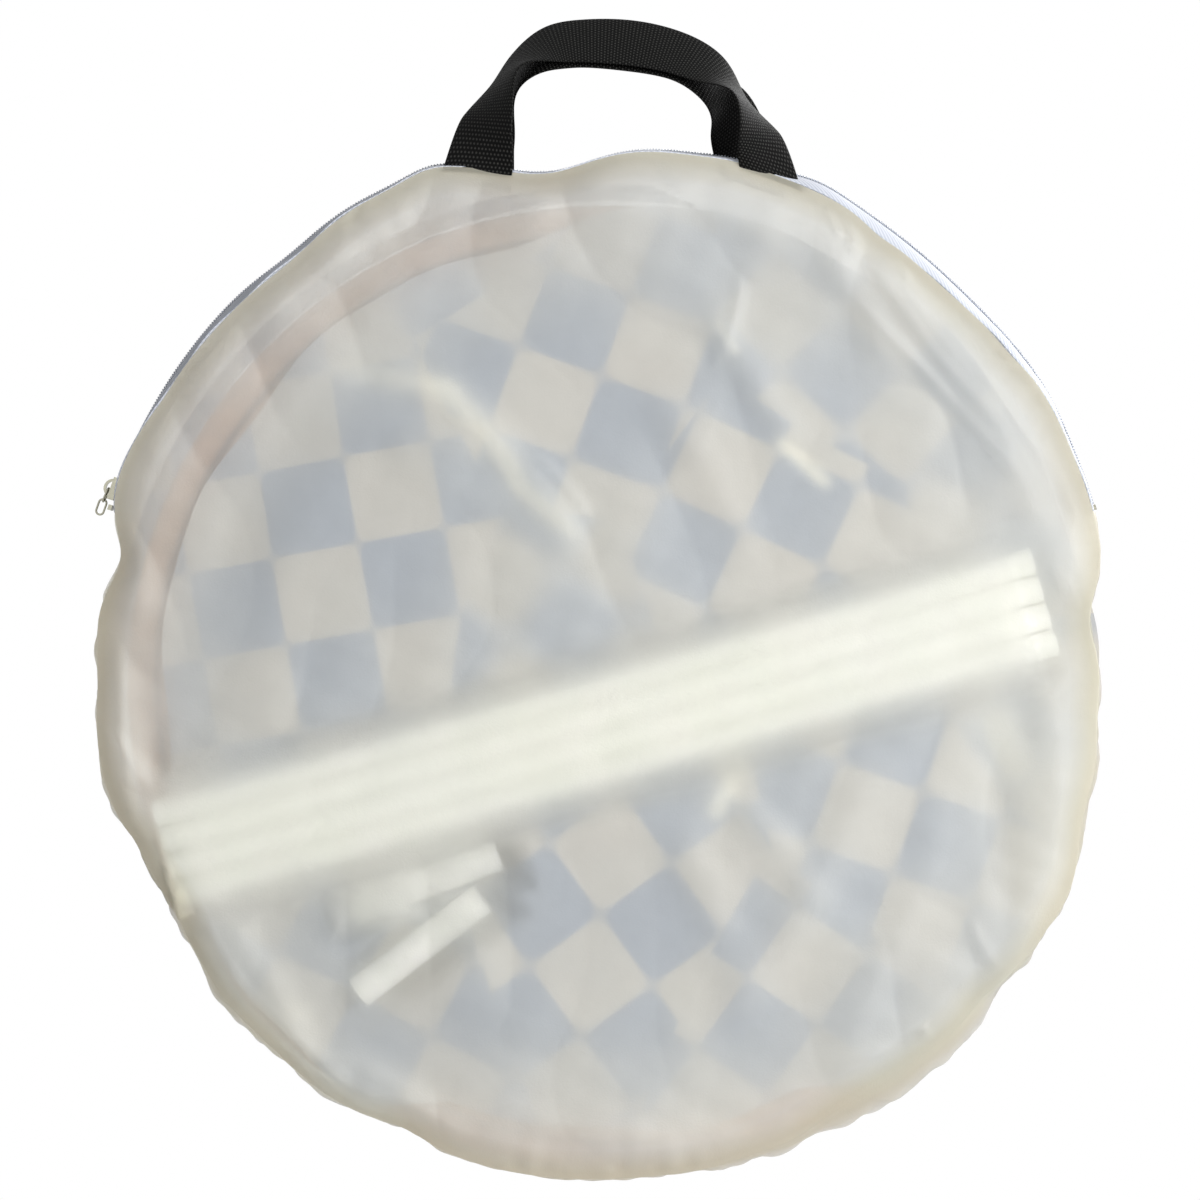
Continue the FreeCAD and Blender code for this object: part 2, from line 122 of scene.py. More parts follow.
def add_node(tree: bpy.types.NodeTree, kind: str, inputs: dict | tuple = (), out: int | str = 0,
             **settings: object) -> Socket | None:
    """Add a node with its settings and links.

    Args:
        tree: the material's or world's node tree.
        kind: the node's type name without "ShaderNode".
        inputs: values or other nodes' outputs, in the sockets' order, or by socket name or number.
        out: the name or number of the output to return.
        settings: the node's own properties.

    Returns:
        That output, or None where the node has none.
    """
    made = tree.nodes.new("ShaderNode" + kind)
    for name, value in settings.items():
        setattr(made, name, value)
    for key, value in (inputs if isinstance(inputs, dict) else dict(enumerate(inputs))).items():
        if isinstance(value, Socket):
            tree.links.new(value, made.inputs[key])
        else:
            made.inputs[key].default_value = value
    return made.outputs[out] if made.outputs else None


def smooth(t: Array | float) -> Array:
    """Smooth step: 3t^2 - 2t^3, with t held between 0 and 1."""
    t = np.clip(t, 0.0, 1.0)
    return t * t * (3 - 2 * t)


def swell(x: Array, z: Array, length: float, seed: int, waves: int = 9) -> Array:
    """Gentle uneven ground: a sum of sine waves that run in scattered directions.

    The height is the mean of sin(2 pi (x cos d + z sin d) / l + p), where d and p are scattered
    and l lies between 0.6 and 1.6 times the length.

    Args:
        x: first coordinate, in metres.
        z: second coordinate, in metres.
        length: typical wave length, in metres.
        seed: picks the scattered directions.
        waves: how many waves are added.

    Returns:
        Heights of about -1 to 1.
    """
    rng = np.random.default_rng(seed)
    ways, phases = rng.uniform(0, 2 * math.pi, (2, waves))
    lengths = length * rng.uniform(0.6, 1.6, waves)
    total = np.zeros(np.broadcast(x, z).shape)
    for way, phase, one in zip(ways, phases, lengths):
        total += np.sin(2 * math.pi * (x * math.cos(way) + z * math.sin(way)) / one + phase)
    return total / math.sqrt(waves)


def spline_through(points: Array, count: int) -> Array:
    """Natural cubic spline through points that are one step apart.

    The slopes m solve m[i-1] + 4 m[i] + m[i+1] = 3 (p[i+1] - p[i-1]), with 2 m[0] + m[1] =
    3 (p[1] - p[0]) at an end. Between two points the curve is the cubic with those slopes.

    Args:
        points: n points of any number of coordinates.
        count: how many points to return along the whole curve.

    Returns:
        The curve's points.
    """
    n = len(points)
    matrix = np.diag(np.full(n, 4.0)) + np.diag(np.ones(n - 1), 1) + np.diag(np.ones(n - 1), -1)
    matrix[0, 0] = matrix[-1, -1] = 2
    right = np.empty(points.shape)
    right[1:-1] = 3 * (points[2:] - points[:-2])
    right[0], right[-1] = 3 * (points[1] - points[0]), 3 * (points[-1] - points[-2])
    slopes = np.linalg.solve(matrix, right)
    place = np.linspace(0, n - 1, count)
    i = np.minimum(place.astype(int), n - 2)
    t = (place - i)[:, None]
    return ((2 * t ** 3 - 3 * t ** 2 + 1) * points[i] + (t ** 3 - 2 * t ** 2 + t) * slopes[i]
            + (3 * t ** 2 - 2 * t ** 3) * points[i + 1] + (t ** 3 - t ** 2) * slopes[i + 1])


def outward(angle: Array) -> Array:
    """The way out from the bag's axis at each angle."""
    return np.stack([np.cos(angle), 0 * angle, np.sin(angle)], -1)


def unit(vectors: Array) -> Array:
    """Scale each vector to length 1."""
    return vectors / np.linalg.norm(vectors, axis=-1, keepdims=True)


@dataclass
class Surface:
    """A mesh as whole arrays: places, four-cornered faces, and a pattern place for each corner."""

    places: Array
    faces: Array
    corners: Array
    values: dict[str, Array] = field(default_factory=dict)

    @classmethod
    def grid(cls, points: Array, pattern: Array | None = None, close_rows: bool = False,
             close_columns: bool = False, turned: bool = False) -> Surface:
        """A surface from rows and columns of points.

        Args:
            points: rows x columns x 3.
            pattern: rows x columns x 2, in metres on the cloth. Where rows or columns close, it has
                one more of them than points has.
            close_rows: the last row joins the first.
            close_columns: the last column joins the first.
            turned: the faces look the other way.

        Returns:
            The surface.
        """
        rows, columns = points.shape[:2]
        i = np.arange(rows if close_rows else rows - 1)[:, None]
        j = np.arange(columns if close_columns else columns - 1)[None, :]
        square = ((i, j), (i, j + 1), (i + 1, j + 1), (i + 1, j))
        if turned:
            square = square[::-1]
        faces = np.stack([(a % rows) * columns + (b % columns) for a, b in square], -1)
        if pattern is None:
            corners = np.zeros((faces[..., 0].size, 4, 2))
        else:
            corners = np.stack([pattern[a + 0 * b, b + 0 * a] for a, b in square], -2)
            corners = corners.reshape(-1, 4, 2)
        return cls(points.reshape(-1, 3), faces.reshape(-1, 4), corners)

    @classmethod
    def join(cls, parts: list[Surface]) -> Surface:
        """Put several surfaces into one."""
        starts = np.cumsum([0] + [len(p.places) for p in parts[:-1]])
        names = set.intersection(*[set(p.values) for p in parts])
        return cls(np.concatenate([p.places for p in parts]),
                   np.concatenate([p.faces + s for p, s in zip(parts, starts)]),
                   np.concatenate([p.corners for p in parts]),
                   {n: np.concatenate([p.values[n] for p in parts]) for n in names})

    def piece(self, name: str) -> bpy.types.Object:
        """Make the Blender object.

        Args:
            name: the piece's name.

        Returns:
            The object, with its place in its mesh.
        """
        mesh = bpy.data.meshes.new(name)
        mesh.from_pydata(self.places.tolist(), [], self.faces.tolist())
        layer = mesh.uv_layers.new(name="cloth_place")
        layer.data.foreach_set("uv", self.corners.astype(np.float32).ravel())
        for key, value in self.values.items():
            made = mesh.attributes.new(key, "FLOAT", "POINT")
            made.data.foreach_set("value", value.astype(np.float32).ravel())
        mesh.polygons.foreach_set("use_smooth", np.ones(len(self.faces), bool))
        mesh.update()
        made_object = bpy.data.objects.new(name, mesh)
        bpy.context.scene.collection.objects.link(made_object)
        return made_object


def round_net(count: int) -> tuple[Array, Array]:
    """A square net bent to fill a circle of radius 1, so that it has no pole.

    A point (u, v) of the square goes to (u sqrt(1 - v^2 / 2), v sqrt(1 - u^2 / 2)).

    Args:
        count: rows and columns of the net.

    Returns:
        The x and z of each point.
    """
    u, v = np.meshgrid(np.linspace(-1, 1, count), np.linspace(-1, 1, count))
    return u * np.sqrt(1 - v * v / 2), v * np.sqrt(1 - u * u / 2)


# ---------------------------------------------------------------- shapes shared by the bag's pieces

@dataclass(frozen=True)
class Rim:
    """The bag's uneven edge, where the panels meet the side strip and the zip."""

    seam_radius: float = 225 * MM
    half_width: float = 17 * MM
    bulge: float = 2.4 * MM
    # angle in degrees, how far out in mm, and how wide in degrees
    bumps: tuple[Triple, ...] = (
        (303, 7.5, 19), (262, 2.0, 13), (5, -8.0, 5), (354, -3.5, 6), (168, -8.5, 4.6),
        (189, 1.6, 5), (207, -4.2, 7), (225, 1.8, 6), (247, -3.4, 4.5), (335, 3.0, 8),
        (320, -1.6, 4), (128, -1.6, 5), (60, 1.8, 9), (117, 1.6, 7), (96, -10.5, 7.5),
        (109, 3.4, 4), (66, 3.2, 5), (75, 1.4, 4), (358, -3.8, 11), (341, -3.6, 5),
        (182, -4.2, 12), (212, -4.4, 9), (228, -2.2, 6), (297, -2.6, 5), (201, -2.4, 3), (33, 2.0, 8),
    )
    # the panels' seam lies lower than the zip's crest here, so that the tape shows
    dips: tuple[Triple, ...] = (
        (50, -3.8, 15), (66, -2.2, 4), (158, 1.8, 7), (92, 0.9, 6), (135, -2.0, 13), (37, -1.2, 3),
        (57, -1.3, 2.5), (149, -0.8, 3), (305, -10.5, 13), (318, -1.6, 3), (287, -1.4, 4),
        (222, -2.6, 9), (345, -1.5, 6),
    )

    def uneven(self, angle: Array, bumps: tuple[Triple, ...]) -> Array:
        """The sum of a bell curve, out exp(-(away / width)^2), for each bump, in metres."""
        degrees = np.degrees(angle)
        total = np.zeros(np.shape(angle))
        for middle, out, width in bumps:
            away = (degrees - middle + 180) % 360 - 180
            total = total + out * MM * np.exp(-(away / width) ** 2)
        return total

    def crest(self, angle: Array) -> Array:
        """Radius of the outermost line, on the mid plane."""
        return self.seam_radius + self.bulge + self.uneven(angle, self.bumps)

    def seam(self, angle: Array) -> Array:
        """Radius of the panels' seam."""
        return self.crest(angle) - self.bulge + self.uneven(angle, self.dips)

    def side_point(self, angle: Array, y: Array) -> Array:
        """A point of the bowed side: seam + (crest - seam) (1 - (y / half width)^2)."""
        bow = 1 - (y / self.half_width) ** 2
        low = self.seam(angle)
        radius = low + (self.crest(angle) - low) * bow
        return np.stack([radius * np.cos(angle), y + 0 * angle,
                         AXIS_HEIGHT + radius * np.sin(angle)], -1)


def line_places(start: Pair, end: Pair, x: Array, z: Array) -> tuple[Array, Array, float]:
    """Measure places from a line between two points given in mm from the bag's axis.

    Args:
        start: the line's beginning.
        end: its end.
        x: places right of the axis, in metres.
        z: places above the axis, in metres.

    Returns:
        How far along the line each place lies, how far to the left of it, and the line's length.
    """
    begin, stop = np.array(start) * MM, np.array(end) * MM
    length = float(np.hypot(*(stop - begin)))
    way = (stop - begin) / length
    dx, dz = x - begin[0], z - begin[1]
    return dx * way[0] + dz * way[1], dz * way[0] - dx * way[1], length


@dataclass(frozen=True)
class Crease:
    """A long soft ridge or valley of cloth between two points, in mm from the bag's axis."""

    start: Pair
    end: Pair
    height: float
    width: float
    bend: float = 0.0

    def relief(self, x: Array, z: Array) -> Array:
        """Height of the ridge: 1.5 height exp(-(d / width)^2), fading out at both ends.

        d is the distance from the line, which bows sideways by bend (1 - (2 s - 1)^2), where s runs
        from 0 to 1 along it.

        Args:
            x: place right of the axis, in metres.
            z: place above the axis, in metres.

        Returns:
            Height in metres.
        """
        along, away, length = line_places(self.start, self.end, x, z)
        s = along / length
        away = away - self.bend * MM * (1 - (2 * np.clip(s, 0, 1) - 1) ** 2)
        fade = smooth(s / 0.3 + 0.3) * smooth((1 - s) / 0.3 + 0.3)
        return 1.5 * self.height * MM * np.exp(-(away / (self.width * MM)) ** 2) * fade


def creases(*rows: tuple[float, ...]) -> tuple[Crease, ...]:
    """Creases from rows of start x and z, end x and z, height, width and bend."""
    return tuple(Crease(row[:2], row[2:4], *row[4:]) for row in rows)


@dataclass(frozen=True)
class Trough:
    """A long hollow that a tube presses into the cloth, in mm from the bag's axis.

    floor is where its bottom lies along that axis.
    """

    start: Pair
    end: Pair
    half_width: float
    floor: float = 0.0

    def share(self, x: Array, z: Array, fall: float = 13.0) -> Array:
        """1 in the hollow and 0 away from it, with a smooth step of fall mm between."""
        along, across, length = line_places(self.start, self.end, x, z)
        away = np.maximum(np.maximum(-along, along - length), np.abs(across) - self.half_width * MM)
        return smooth(1 - away / (fall * MM))


# ---------------------------------------------------------------- finishes

@dataclass(frozen=True)
class Finish:
    """What the finishes share: a name, and a new material that holds the finish's own nodes.

    A finish's shader method gets add, which is add_node with the material's tree filled in.
    """

    name: str

    def material(self) -> bpy.types.Material:
        """Make the material and send the finish's shader to its output."""
        material = bpy.data.materials.new(self.name)
        material.use_nodes = True
        material.node_tree.nodes.clear()
        add = partial(add_node, material.node_tree)
        add("OutputMaterial", {"Surface": self.shader(add)})
        return material

    @staticmethod
    def patches(add: Adder, size: float, detail: float = 3.0, seed: float = 0.0) -> Socket:
        """Uneven patches on object coordinates, about size metres across."""
        place = add("TexCoord", out="Object")
        return add("TexNoise", {"Vector": place, "W": seed, "Scale": 1 / size, "Detail": detail},
                   noise_dimensions="4D")

    @staticmethod
    def dyed(add: Adder, marks: Socket, low: float, high: float, first: str, second: str) -> Socket:
        """Go from the first hex colour to the second as the marks go from low to high."""
        share = add("MapRange", (marks, low, high, 0, 1))
        return add("Mix", {0: share, 6: linear(first), 7: linear(second)}, 2, data_type="RGBA")


@dataclass(frozen=True)
class SheerCloth(Finish):
    """Thin polyester with a milky coating: it shows what touches it, and veils what lies deeper."""

    face: str = "E1E0DA"
    face_patches: str = "DCDCD9"
    glow: str = "F6F7F5"
    # the seam band's colours are darker: partly the thicker seam, partly painted shade of the edge
    # turning away from the light
    thick_seam_shaded_face: str = "D1CDBC"
    thick_seam_shaded_glow: str = "E6E3D6"
    deep_clear: float = 0.13
    near_clear: float = 0.46
    held_off_clear: float = 0.0
    seam_clear: float = 0.10
    scatter: float = 0.62
    seam_scatter: float = 0.56
    thread: float = 0.9 * MM

    def shader(self, add: Adder) -> Socket:
        """Build the woven, coated finish.

        The share that passes straight through is larger where the cloth lies against what is
        inside, smaller where the tubes hold it off, falls at the doubled seam, and wanders a little
        with the coating. The rest is part plain cloth and part light let through and scattered.

        Args:
            add: adds a node.

        Returns:
            The shader.
        """
        edge = add("Attribute", out="Fac", attribute_name="seam_distance")
        near = add("Attribute", out="Fac", attribute_name="lies_on_contents")
        patchy = add("MapRange", (self.patches(add, 40 * MM, 4), 0.3, 0.7, -0.13, -0.05))
        off = add("MapRange", (near, -0.5, 0, self.held_off_clear - self.deep_clear, 0))
        on = add("MapRange", (near, 0, 1, self.deep_clear, self.near_clear))
        middle = add("Math", (on, off), operation="ADD")
        away = add("MapRange", (edge, 1 * MM, 13 * MM, 0, 1))
        opened = add("Math", (middle, away, self.seam_clear), operation="MULTIPLY_ADD")
        clear = add("Math", (opened, patchy), operation="ADD")
        # the weave is drawn coarser than the real thread, which is too fine to show
        weave = self.patches(add, self.thread, 2)
        crumple = self.patches(add, 9 * MM, 5, 3.0)
        relief = add("Math", (crumple, 3.0, weave), operation="MULTIPLY_ADD")
        bump = add("Bump", {"Height": relief, "Strength": 0.35, "Distance": 0.25 * MM})
        warm = self.dyed(add, self.patches(add, 70 * MM, 3, 7.0), 0.35, 0.65, self.face,
                         self.face_patches)
        # the seam's turned-in edges lie four thick behind it, and look darker: the darker colour is
        # partly that thickness and partly painted shade of the edge that turns away from the light
        turned_in_shaded = add("MapRange", (edge, 3 * MM, 14 * MM, 1, 0))
        faced = add("Mix", {0: turned_in_shaded, 6: warm, 7: linear(self.thick_seam_shaded_face)}, 2, data_type="RGBA")
        glow = self.dyed(add, edge, 3 * MM, 14 * MM, self.thick_seam_shaded_glow, self.glow)
        cloth = add("BsdfPrincipled", {"Base Color": faced, "Roughness": 0.48,
                                       "Specular IOR Level": 0.36, "Normal": bump})
        through = add("BsdfTranslucent", {"Color": glow, "Normal": bump})
        share = add("MapRange", (edge, 3 * MM, 16 * MM, self.seam_scatter, self.scatter))
        solid = add("MixShader", (share, cloth, through))
        return add("MixShader", (clear, solid, add("BsdfTransparent", {"Color": (1, 1, 1, 1)})))


@dataclass(frozen=True)
class TwillTape(Finish):
    """White polyester zip tape, woven in a fine twill that runs along it at an angle."""

    name: str = "white_twill_zip_tape"
    colour: str = "D6DAE4"
    # painted shade: the twill's grooves are coloured darker than the white tape
    painted_groove_shade: str = "BDC3D1"
    rib: float = 1.3 * MM

    def shader(self, add: Adder) -> Socket:
        """Build the twill: slanting ribs from the tape's own pattern places."""
        place = add("UVMap", uv_map="cloth_place")
        ribs = add("TexWave", {"Vector": place, "Scale": WAVE_SCALE / self.rib, "Distortion": 0.3,
                               "Detail": 1.0}, "Fac", wave_type="BANDS", bands_direction="DIAGONAL")
        bump = add("Bump", {"Height": ribs, "Strength": 0.5, "Distance": 0.15 * MM})
        # the grooves between the ribs are painted darker, a painted shade that follows the bump
        return add("BsdfPrincipled", {
            "Base Color": self.dyed(add, ribs, 0, 1, self.painted_groove_shade, self.colour), "Roughness": 0.7,
            "Sheen Weight": 0.2, "Normal": bump})


@dataclass(frozen=True)
class NylonCoil(Finish):
    """Drawn nylon thread, smooth and a little clear, so it shows small soft glints."""

    name: str = "drawn_nylon_coil"
    colour: str = "C3C8D2"
    streak: str = "ABB1BE"

    def shader(self, add: Adder) -> Socket:
        """Build the nylon with faint streaks along the drawn thread."""
        tone = self.dyed(add, self.patches(add, 3 * MM, 2), 0.35, 0.65, self.streak, self.colour)
        return add("BsdfPrincipled", {"Base Color": tone, "Roughness": 0.38, "IOR": 1.53})


@dataclass(frozen=True)
class RibbedWebbing(Finish):
    """Black polypropylene webbing: crosswise rows of fat floats, set like bricks."""

    # painted highlight and shade: the floats' tops go to the lighter colour and the gaps between them to
    # the black
    dark: str = "020202"
    bright: str = "3B3B39"
    rib: float = 1.5 * MM
    thread: float = 1.7 * MM

    def shader(self, add: Adder) -> Socket:
        """Build the floats from the band's own pattern places.

        A float's height is sin(pi v)^2 sin(pi (u + row / 2))^2, where v counts rows along the band, u
        counts threads across it, and row is the whole part of v.

        Args:
            add: adds a node.

        Returns:
            The shader.
        """
        across = add("SeparateXYZ", (add("UVMap", uv_map="cloth_place"),))
        rows = add("Math", (across.node.outputs[1], self.rib), operation="DIVIDE")
        threads = add("Math", (across, self.thread), operation="DIVIDE")
        row = add("Math", (rows,), operation="FLOOR")
        shifted = add("Math", (row, 0.5, threads), operation="MULTIPLY_ADD")
        sines = [add("Math", (add("Math", (count, math.pi), operation="MULTIPLY"),), operation="SINE")
                 for count in (rows, shifted)]
        both = add("Math", tuple(sines), operation="MULTIPLY")
        weave = add("Math", (both, both), operation="MULTIPLY")
        height = add("Math", (self.patches(add, 1.6 * MM, 3), 0.4, weave), operation="MULTIPLY_ADD")
        bump = add("Bump", {"Height": height, "Strength": 0.8, "Distance": 0.3 * MM})
        # the floats' tops are painted lighter, a painted highlight, and the gaps darker, painted shade
        return add("BsdfPrincipled", {
            "Base Color": self.dyed(add, weave, 0.2, 0.9, self.dark, self.bright), "Roughness": 0.75,
            "Specular IOR Level": 0.1, "Normal": bump})


@dataclass(frozen=True)
class Metal(Finish):
    """A worked metal: nickel plate on a zinc casting and wire, or blued strip steel."""

    colour: str
    rough: float
    scratch: float = 1.2 * MM

    def shader(self, add: Adder) -> Socket:
        """Build the metal with rub marks that vary its gloss."""
        marks = self.patches(add, self.scratch, 5)
        rough = add("MapRange", (marks, 0.35, 0.7, self.rough * 0.8, self.rough * 1.5))
        bump = add("Bump", {"Height": marks, "Strength": 0.15, "Distance": 0.05 * MM})
        return add("BsdfPrincipled", {"Base Color": linear(self.colour), "Metallic": 1.0,
                                      "Roughness": rough, "Normal": bump})


@dataclass(frozen=True)
class SleeveBinding(Finish):
    """Tan polyester binding, gathered over the hoop."""

    name: str = "tan_gathered_binding"
    colour: str = "CBA283"
    # painted shade: darker tan in random patches, standing for the shade in the gathers
    gathered: str = "B58F70"
    thread: float = 1.2 * MM

    def shader(self, add: Adder) -> Socket:
        """Build the plain weave, with painted shade of the gathers as darker random patches."""
        place = add("UVMap", uv_map="cloth_place")
        weave = add("TexWave", {"Vector": place, "Scale": WAVE_SCALE / self.thread,
                                "Distortion": 1.0}, "Fac")
        tone = self.dyed(add, self.patches(add, 12 * MM, 4), 0.35, 0.65, self.gathered, self.colour)
        bump = add("Bump", {"Height": weave, "Strength": 0.3, "Distance": 0.15 * MM})
        return add("BsdfPrincipled", {"Base Color": tone, "Roughness": 0.75, "Sheen Weight": 0.2,
                                      "Normal": bump})


@dataclass(frozen=True)
class Facet:
    """A flat part of the folded cloth, in mm and degrees from the bag's axis.

    middle is where it lies, reach how far it spreads, corner a corner of one blue check, tilt the
    way of that check's lower edge, and crisp how sharply its checks change colour.
    """

    middle: Pair
    reach: float
    corner: Pair
    tilt: float
    crisp: float


@dataclass(frozen=True)
class CheckedCloth(Finish):
    """Light polyester printed in plain blue and cream checks, limp, with small crumples."""

    name: str = "blue_and_cream_checked_polyester"
    blue: str = "979EA9"
    pale_blue: str = "A3A9B1"
    cream: str = "BAB8B3"
    warm_cream: str = "BDB3A9"
    # painted highlight: the pale colour laid along the raised folds
    fold_highlight: str = "F3EEDD"
    check: float = 38.4 * MM
    facets: tuple[Facet, ...] = (
        Facet((-125, 60), 30, (-144.3, 45.1), 10, 16), Facet((-15, 122), 8, (-36.4, 137.9), -20, 9),
        Facet((72, 58), 10, (61.3, 58.0), -25, 9), Facet((112, 128), 0, (78.1, 126.4), -43, 4),
        Facet((176, 70), -10, (138, 84), -22, 1.6), Facet((2, -112), 18, (-0.7, -110.2), -54, 9),
        Facet((78, -150), 8, (63.5, -137.8), 55, 11), Facet((142, -76), 8, (139.9, -56.6), 70, 8),
        Facet((-108, -150), 18, (-74.8, -164.5), -28, 6), Facet((-24, 24), -8, (-40, 10), -35, 1.4),
        Facet((188, -40), -6, (180, -60), 40, 1.8), Facet((-70, 200), -4, (-60, 180), 24, 1.8),
    )

    def facet_place(self, add: Adder) -> tuple[Socket, Socket]:
        """Turn a place on a leaf to a place on the cloth, facet by facet.

        A point belongs to the facet whose distance, less its reach, is the least. The line between
        two facets is a fold.

        Args:
            add: adds a node.
        """
        flat = add("UVMap", uv_map="cloth_place")
        best = place = crisp = None
        for facet in self.facets:
            middle, corner = [(x * MM, z * MM, 0) for x, z in (facet.middle, facet.corner)]
            away = add("VectorMath", (flat, middle), "Value", operation="DISTANCE")
            away = add("Math", (away, facet.reach * MM), operation="SUBTRACT")
            from_corner = add("VectorMath", (flat, corner), operation="SUBTRACT")
            turned = add("VectorRotate", {"Vector": from_corner, "Angle": math.radians(-facet.tilt)},
                         rotation_type="Z_AXIS")
            if best is None:
                best, place, crisp = away, turned, facet.crisp
                continue
            closer = add("Math", (away, best), operation="LESS_THAN")
            place = add("Mix", {0: closer, 4: place, 5: turned}, 1, data_type="VECTOR")
            crisp = add("Mix", {0: closer, 2: crisp, 3: facet.crisp})
            best = add("Math", (away, best), operation="MINIMUM")
        return place, crisp

    def shader(self, add: Adder) -> Socket:
        """Build the checks from the cloth's own pattern places.

        The product of two sines, one step for each check, is above 0 in one colour and below it in
        the other. How steeply it goes over is the facet's crispness.

        Args:
            add: adds a node.

        Returns:
            The shader.
        """
        place, crisp = self.facet_place(add)
        across = add("SeparateXYZ", (place,))
        steep = crisp
        for count in (across, across.node.outputs[1]):
            turn = add("Math", (count, math.pi / self.check), operation="MULTIPLY")
            wave = add("Math", (turn,), operation="SINE")
            steep = add("Math", (steep, wave), operation="MULTIPLY")
        side = add("MapRange", (steep, -0.5, 0.5, 0.0, 1.0))
        fade = add("MapRange", (self.patches(add, 60 * MM, 3), 0.3, 0.7, 0.0, 0.3))
        cream = self.dyed(add, fade, 0, 1, self.cream, self.warm_cream)
        blue = self.dyed(add, fade, 0, 1, self.blue, self.pale_blue)
        printed = add("Mix", {0: side, 6: cream, 7: blue}, 2, data_type="RGBA")
        # the raised folds are painted pale, a painted highlight
        fold_highlight = add("Attribute", out="Fac", attribute_name="pressed_fold")
        tone = add("Mix", {0: fold_highlight, 6: printed, 7: linear(self.fold_highlight)}, 2, data_type="RGBA")
        crumple = self.patches(add, 14 * MM, 5, 2.0)
        bump = add("Bump", {"Height": crumple, "Strength": 0.5, "Distance": 0.8 * MM})
        return add("BsdfPrincipled", {"Base Color": tone, "Roughness": 0.7, "Normal": bump})


@dataclass(frozen=True)
class TubePlastic(Finish):
    """Extruded off-white PVC: smooth and slightly waxy, with handling marks."""

    name: str = "extruded_off_white_pvc"
    colour: str = "F3F1EA"
    handled: str = "E9EADF"

    def shader(self, add: Adder) -> Socket:
        """Build the PVC, whose marks change its tone and its gloss."""
        marks = self.patches(add, 16 * MM, 5)
        return add("BsdfPrincipled", {
            "Base Color": self.dyed(add, marks, 0.35, 0.7, self.colour, self.handled),
            "Roughness": add("MapRange", (marks, 0.3, 0.7, 0.38, 0.5)), "IOR": 1.53,
            "Subsurface Weight": 0.5, "Subsurface Radius": (6 * MM, 6 * MM, 5 * MM),
            "Subsurface Scale": 1.0})


@dataclass(frozen=True)
class WhitePaper(Finish):
    """Matt white paper: pure white to the eye, with a soft shadow on it, and plain paper to light."""

    name: str = "white_paper_floor"

    def shader(self, add: Adder) -> Socket:
        """Build the paper."""
        paper = add("BsdfDiffuse", {
            "Color": self.dyed(add, self.patches(add, 5 * MM), 0, 1, "F2F2F0", "F7F7F5")})
        lit = add("Emission", {"Color": (1, 1, 1, 1), "Strength": 0.8})
        shade = add("BsdfDiffuse", {"Color": (0.5, 0.5, 0.5, 1)})
        return add("MixShader", (looked_at(add), paper, add("AddShader", (lit, shade))))


def looked_at(add: Adder) -> Socket:
    """1 for a ray that the eye follows, straight, by a reflection or through cloth, and 0 for light."""
    camera = add("LightPath", out="Is Camera Ray")
    glossy, passed = [camera.node.outputs[f"Is {kind} Ray"] for kind in ("Glossy", "Transmission")]
    return add("Math", (camera, add("Math", (glossy, passed), operation="MAXIMUM")), operation="MAXIMUM")


# ---------------------------------------------------------------- the bag

class Side(Enum):
    """Which way a panel, tape or coil faces: -1 to the front and +1 to the back."""

    FRONT = -1
    BACK = 1


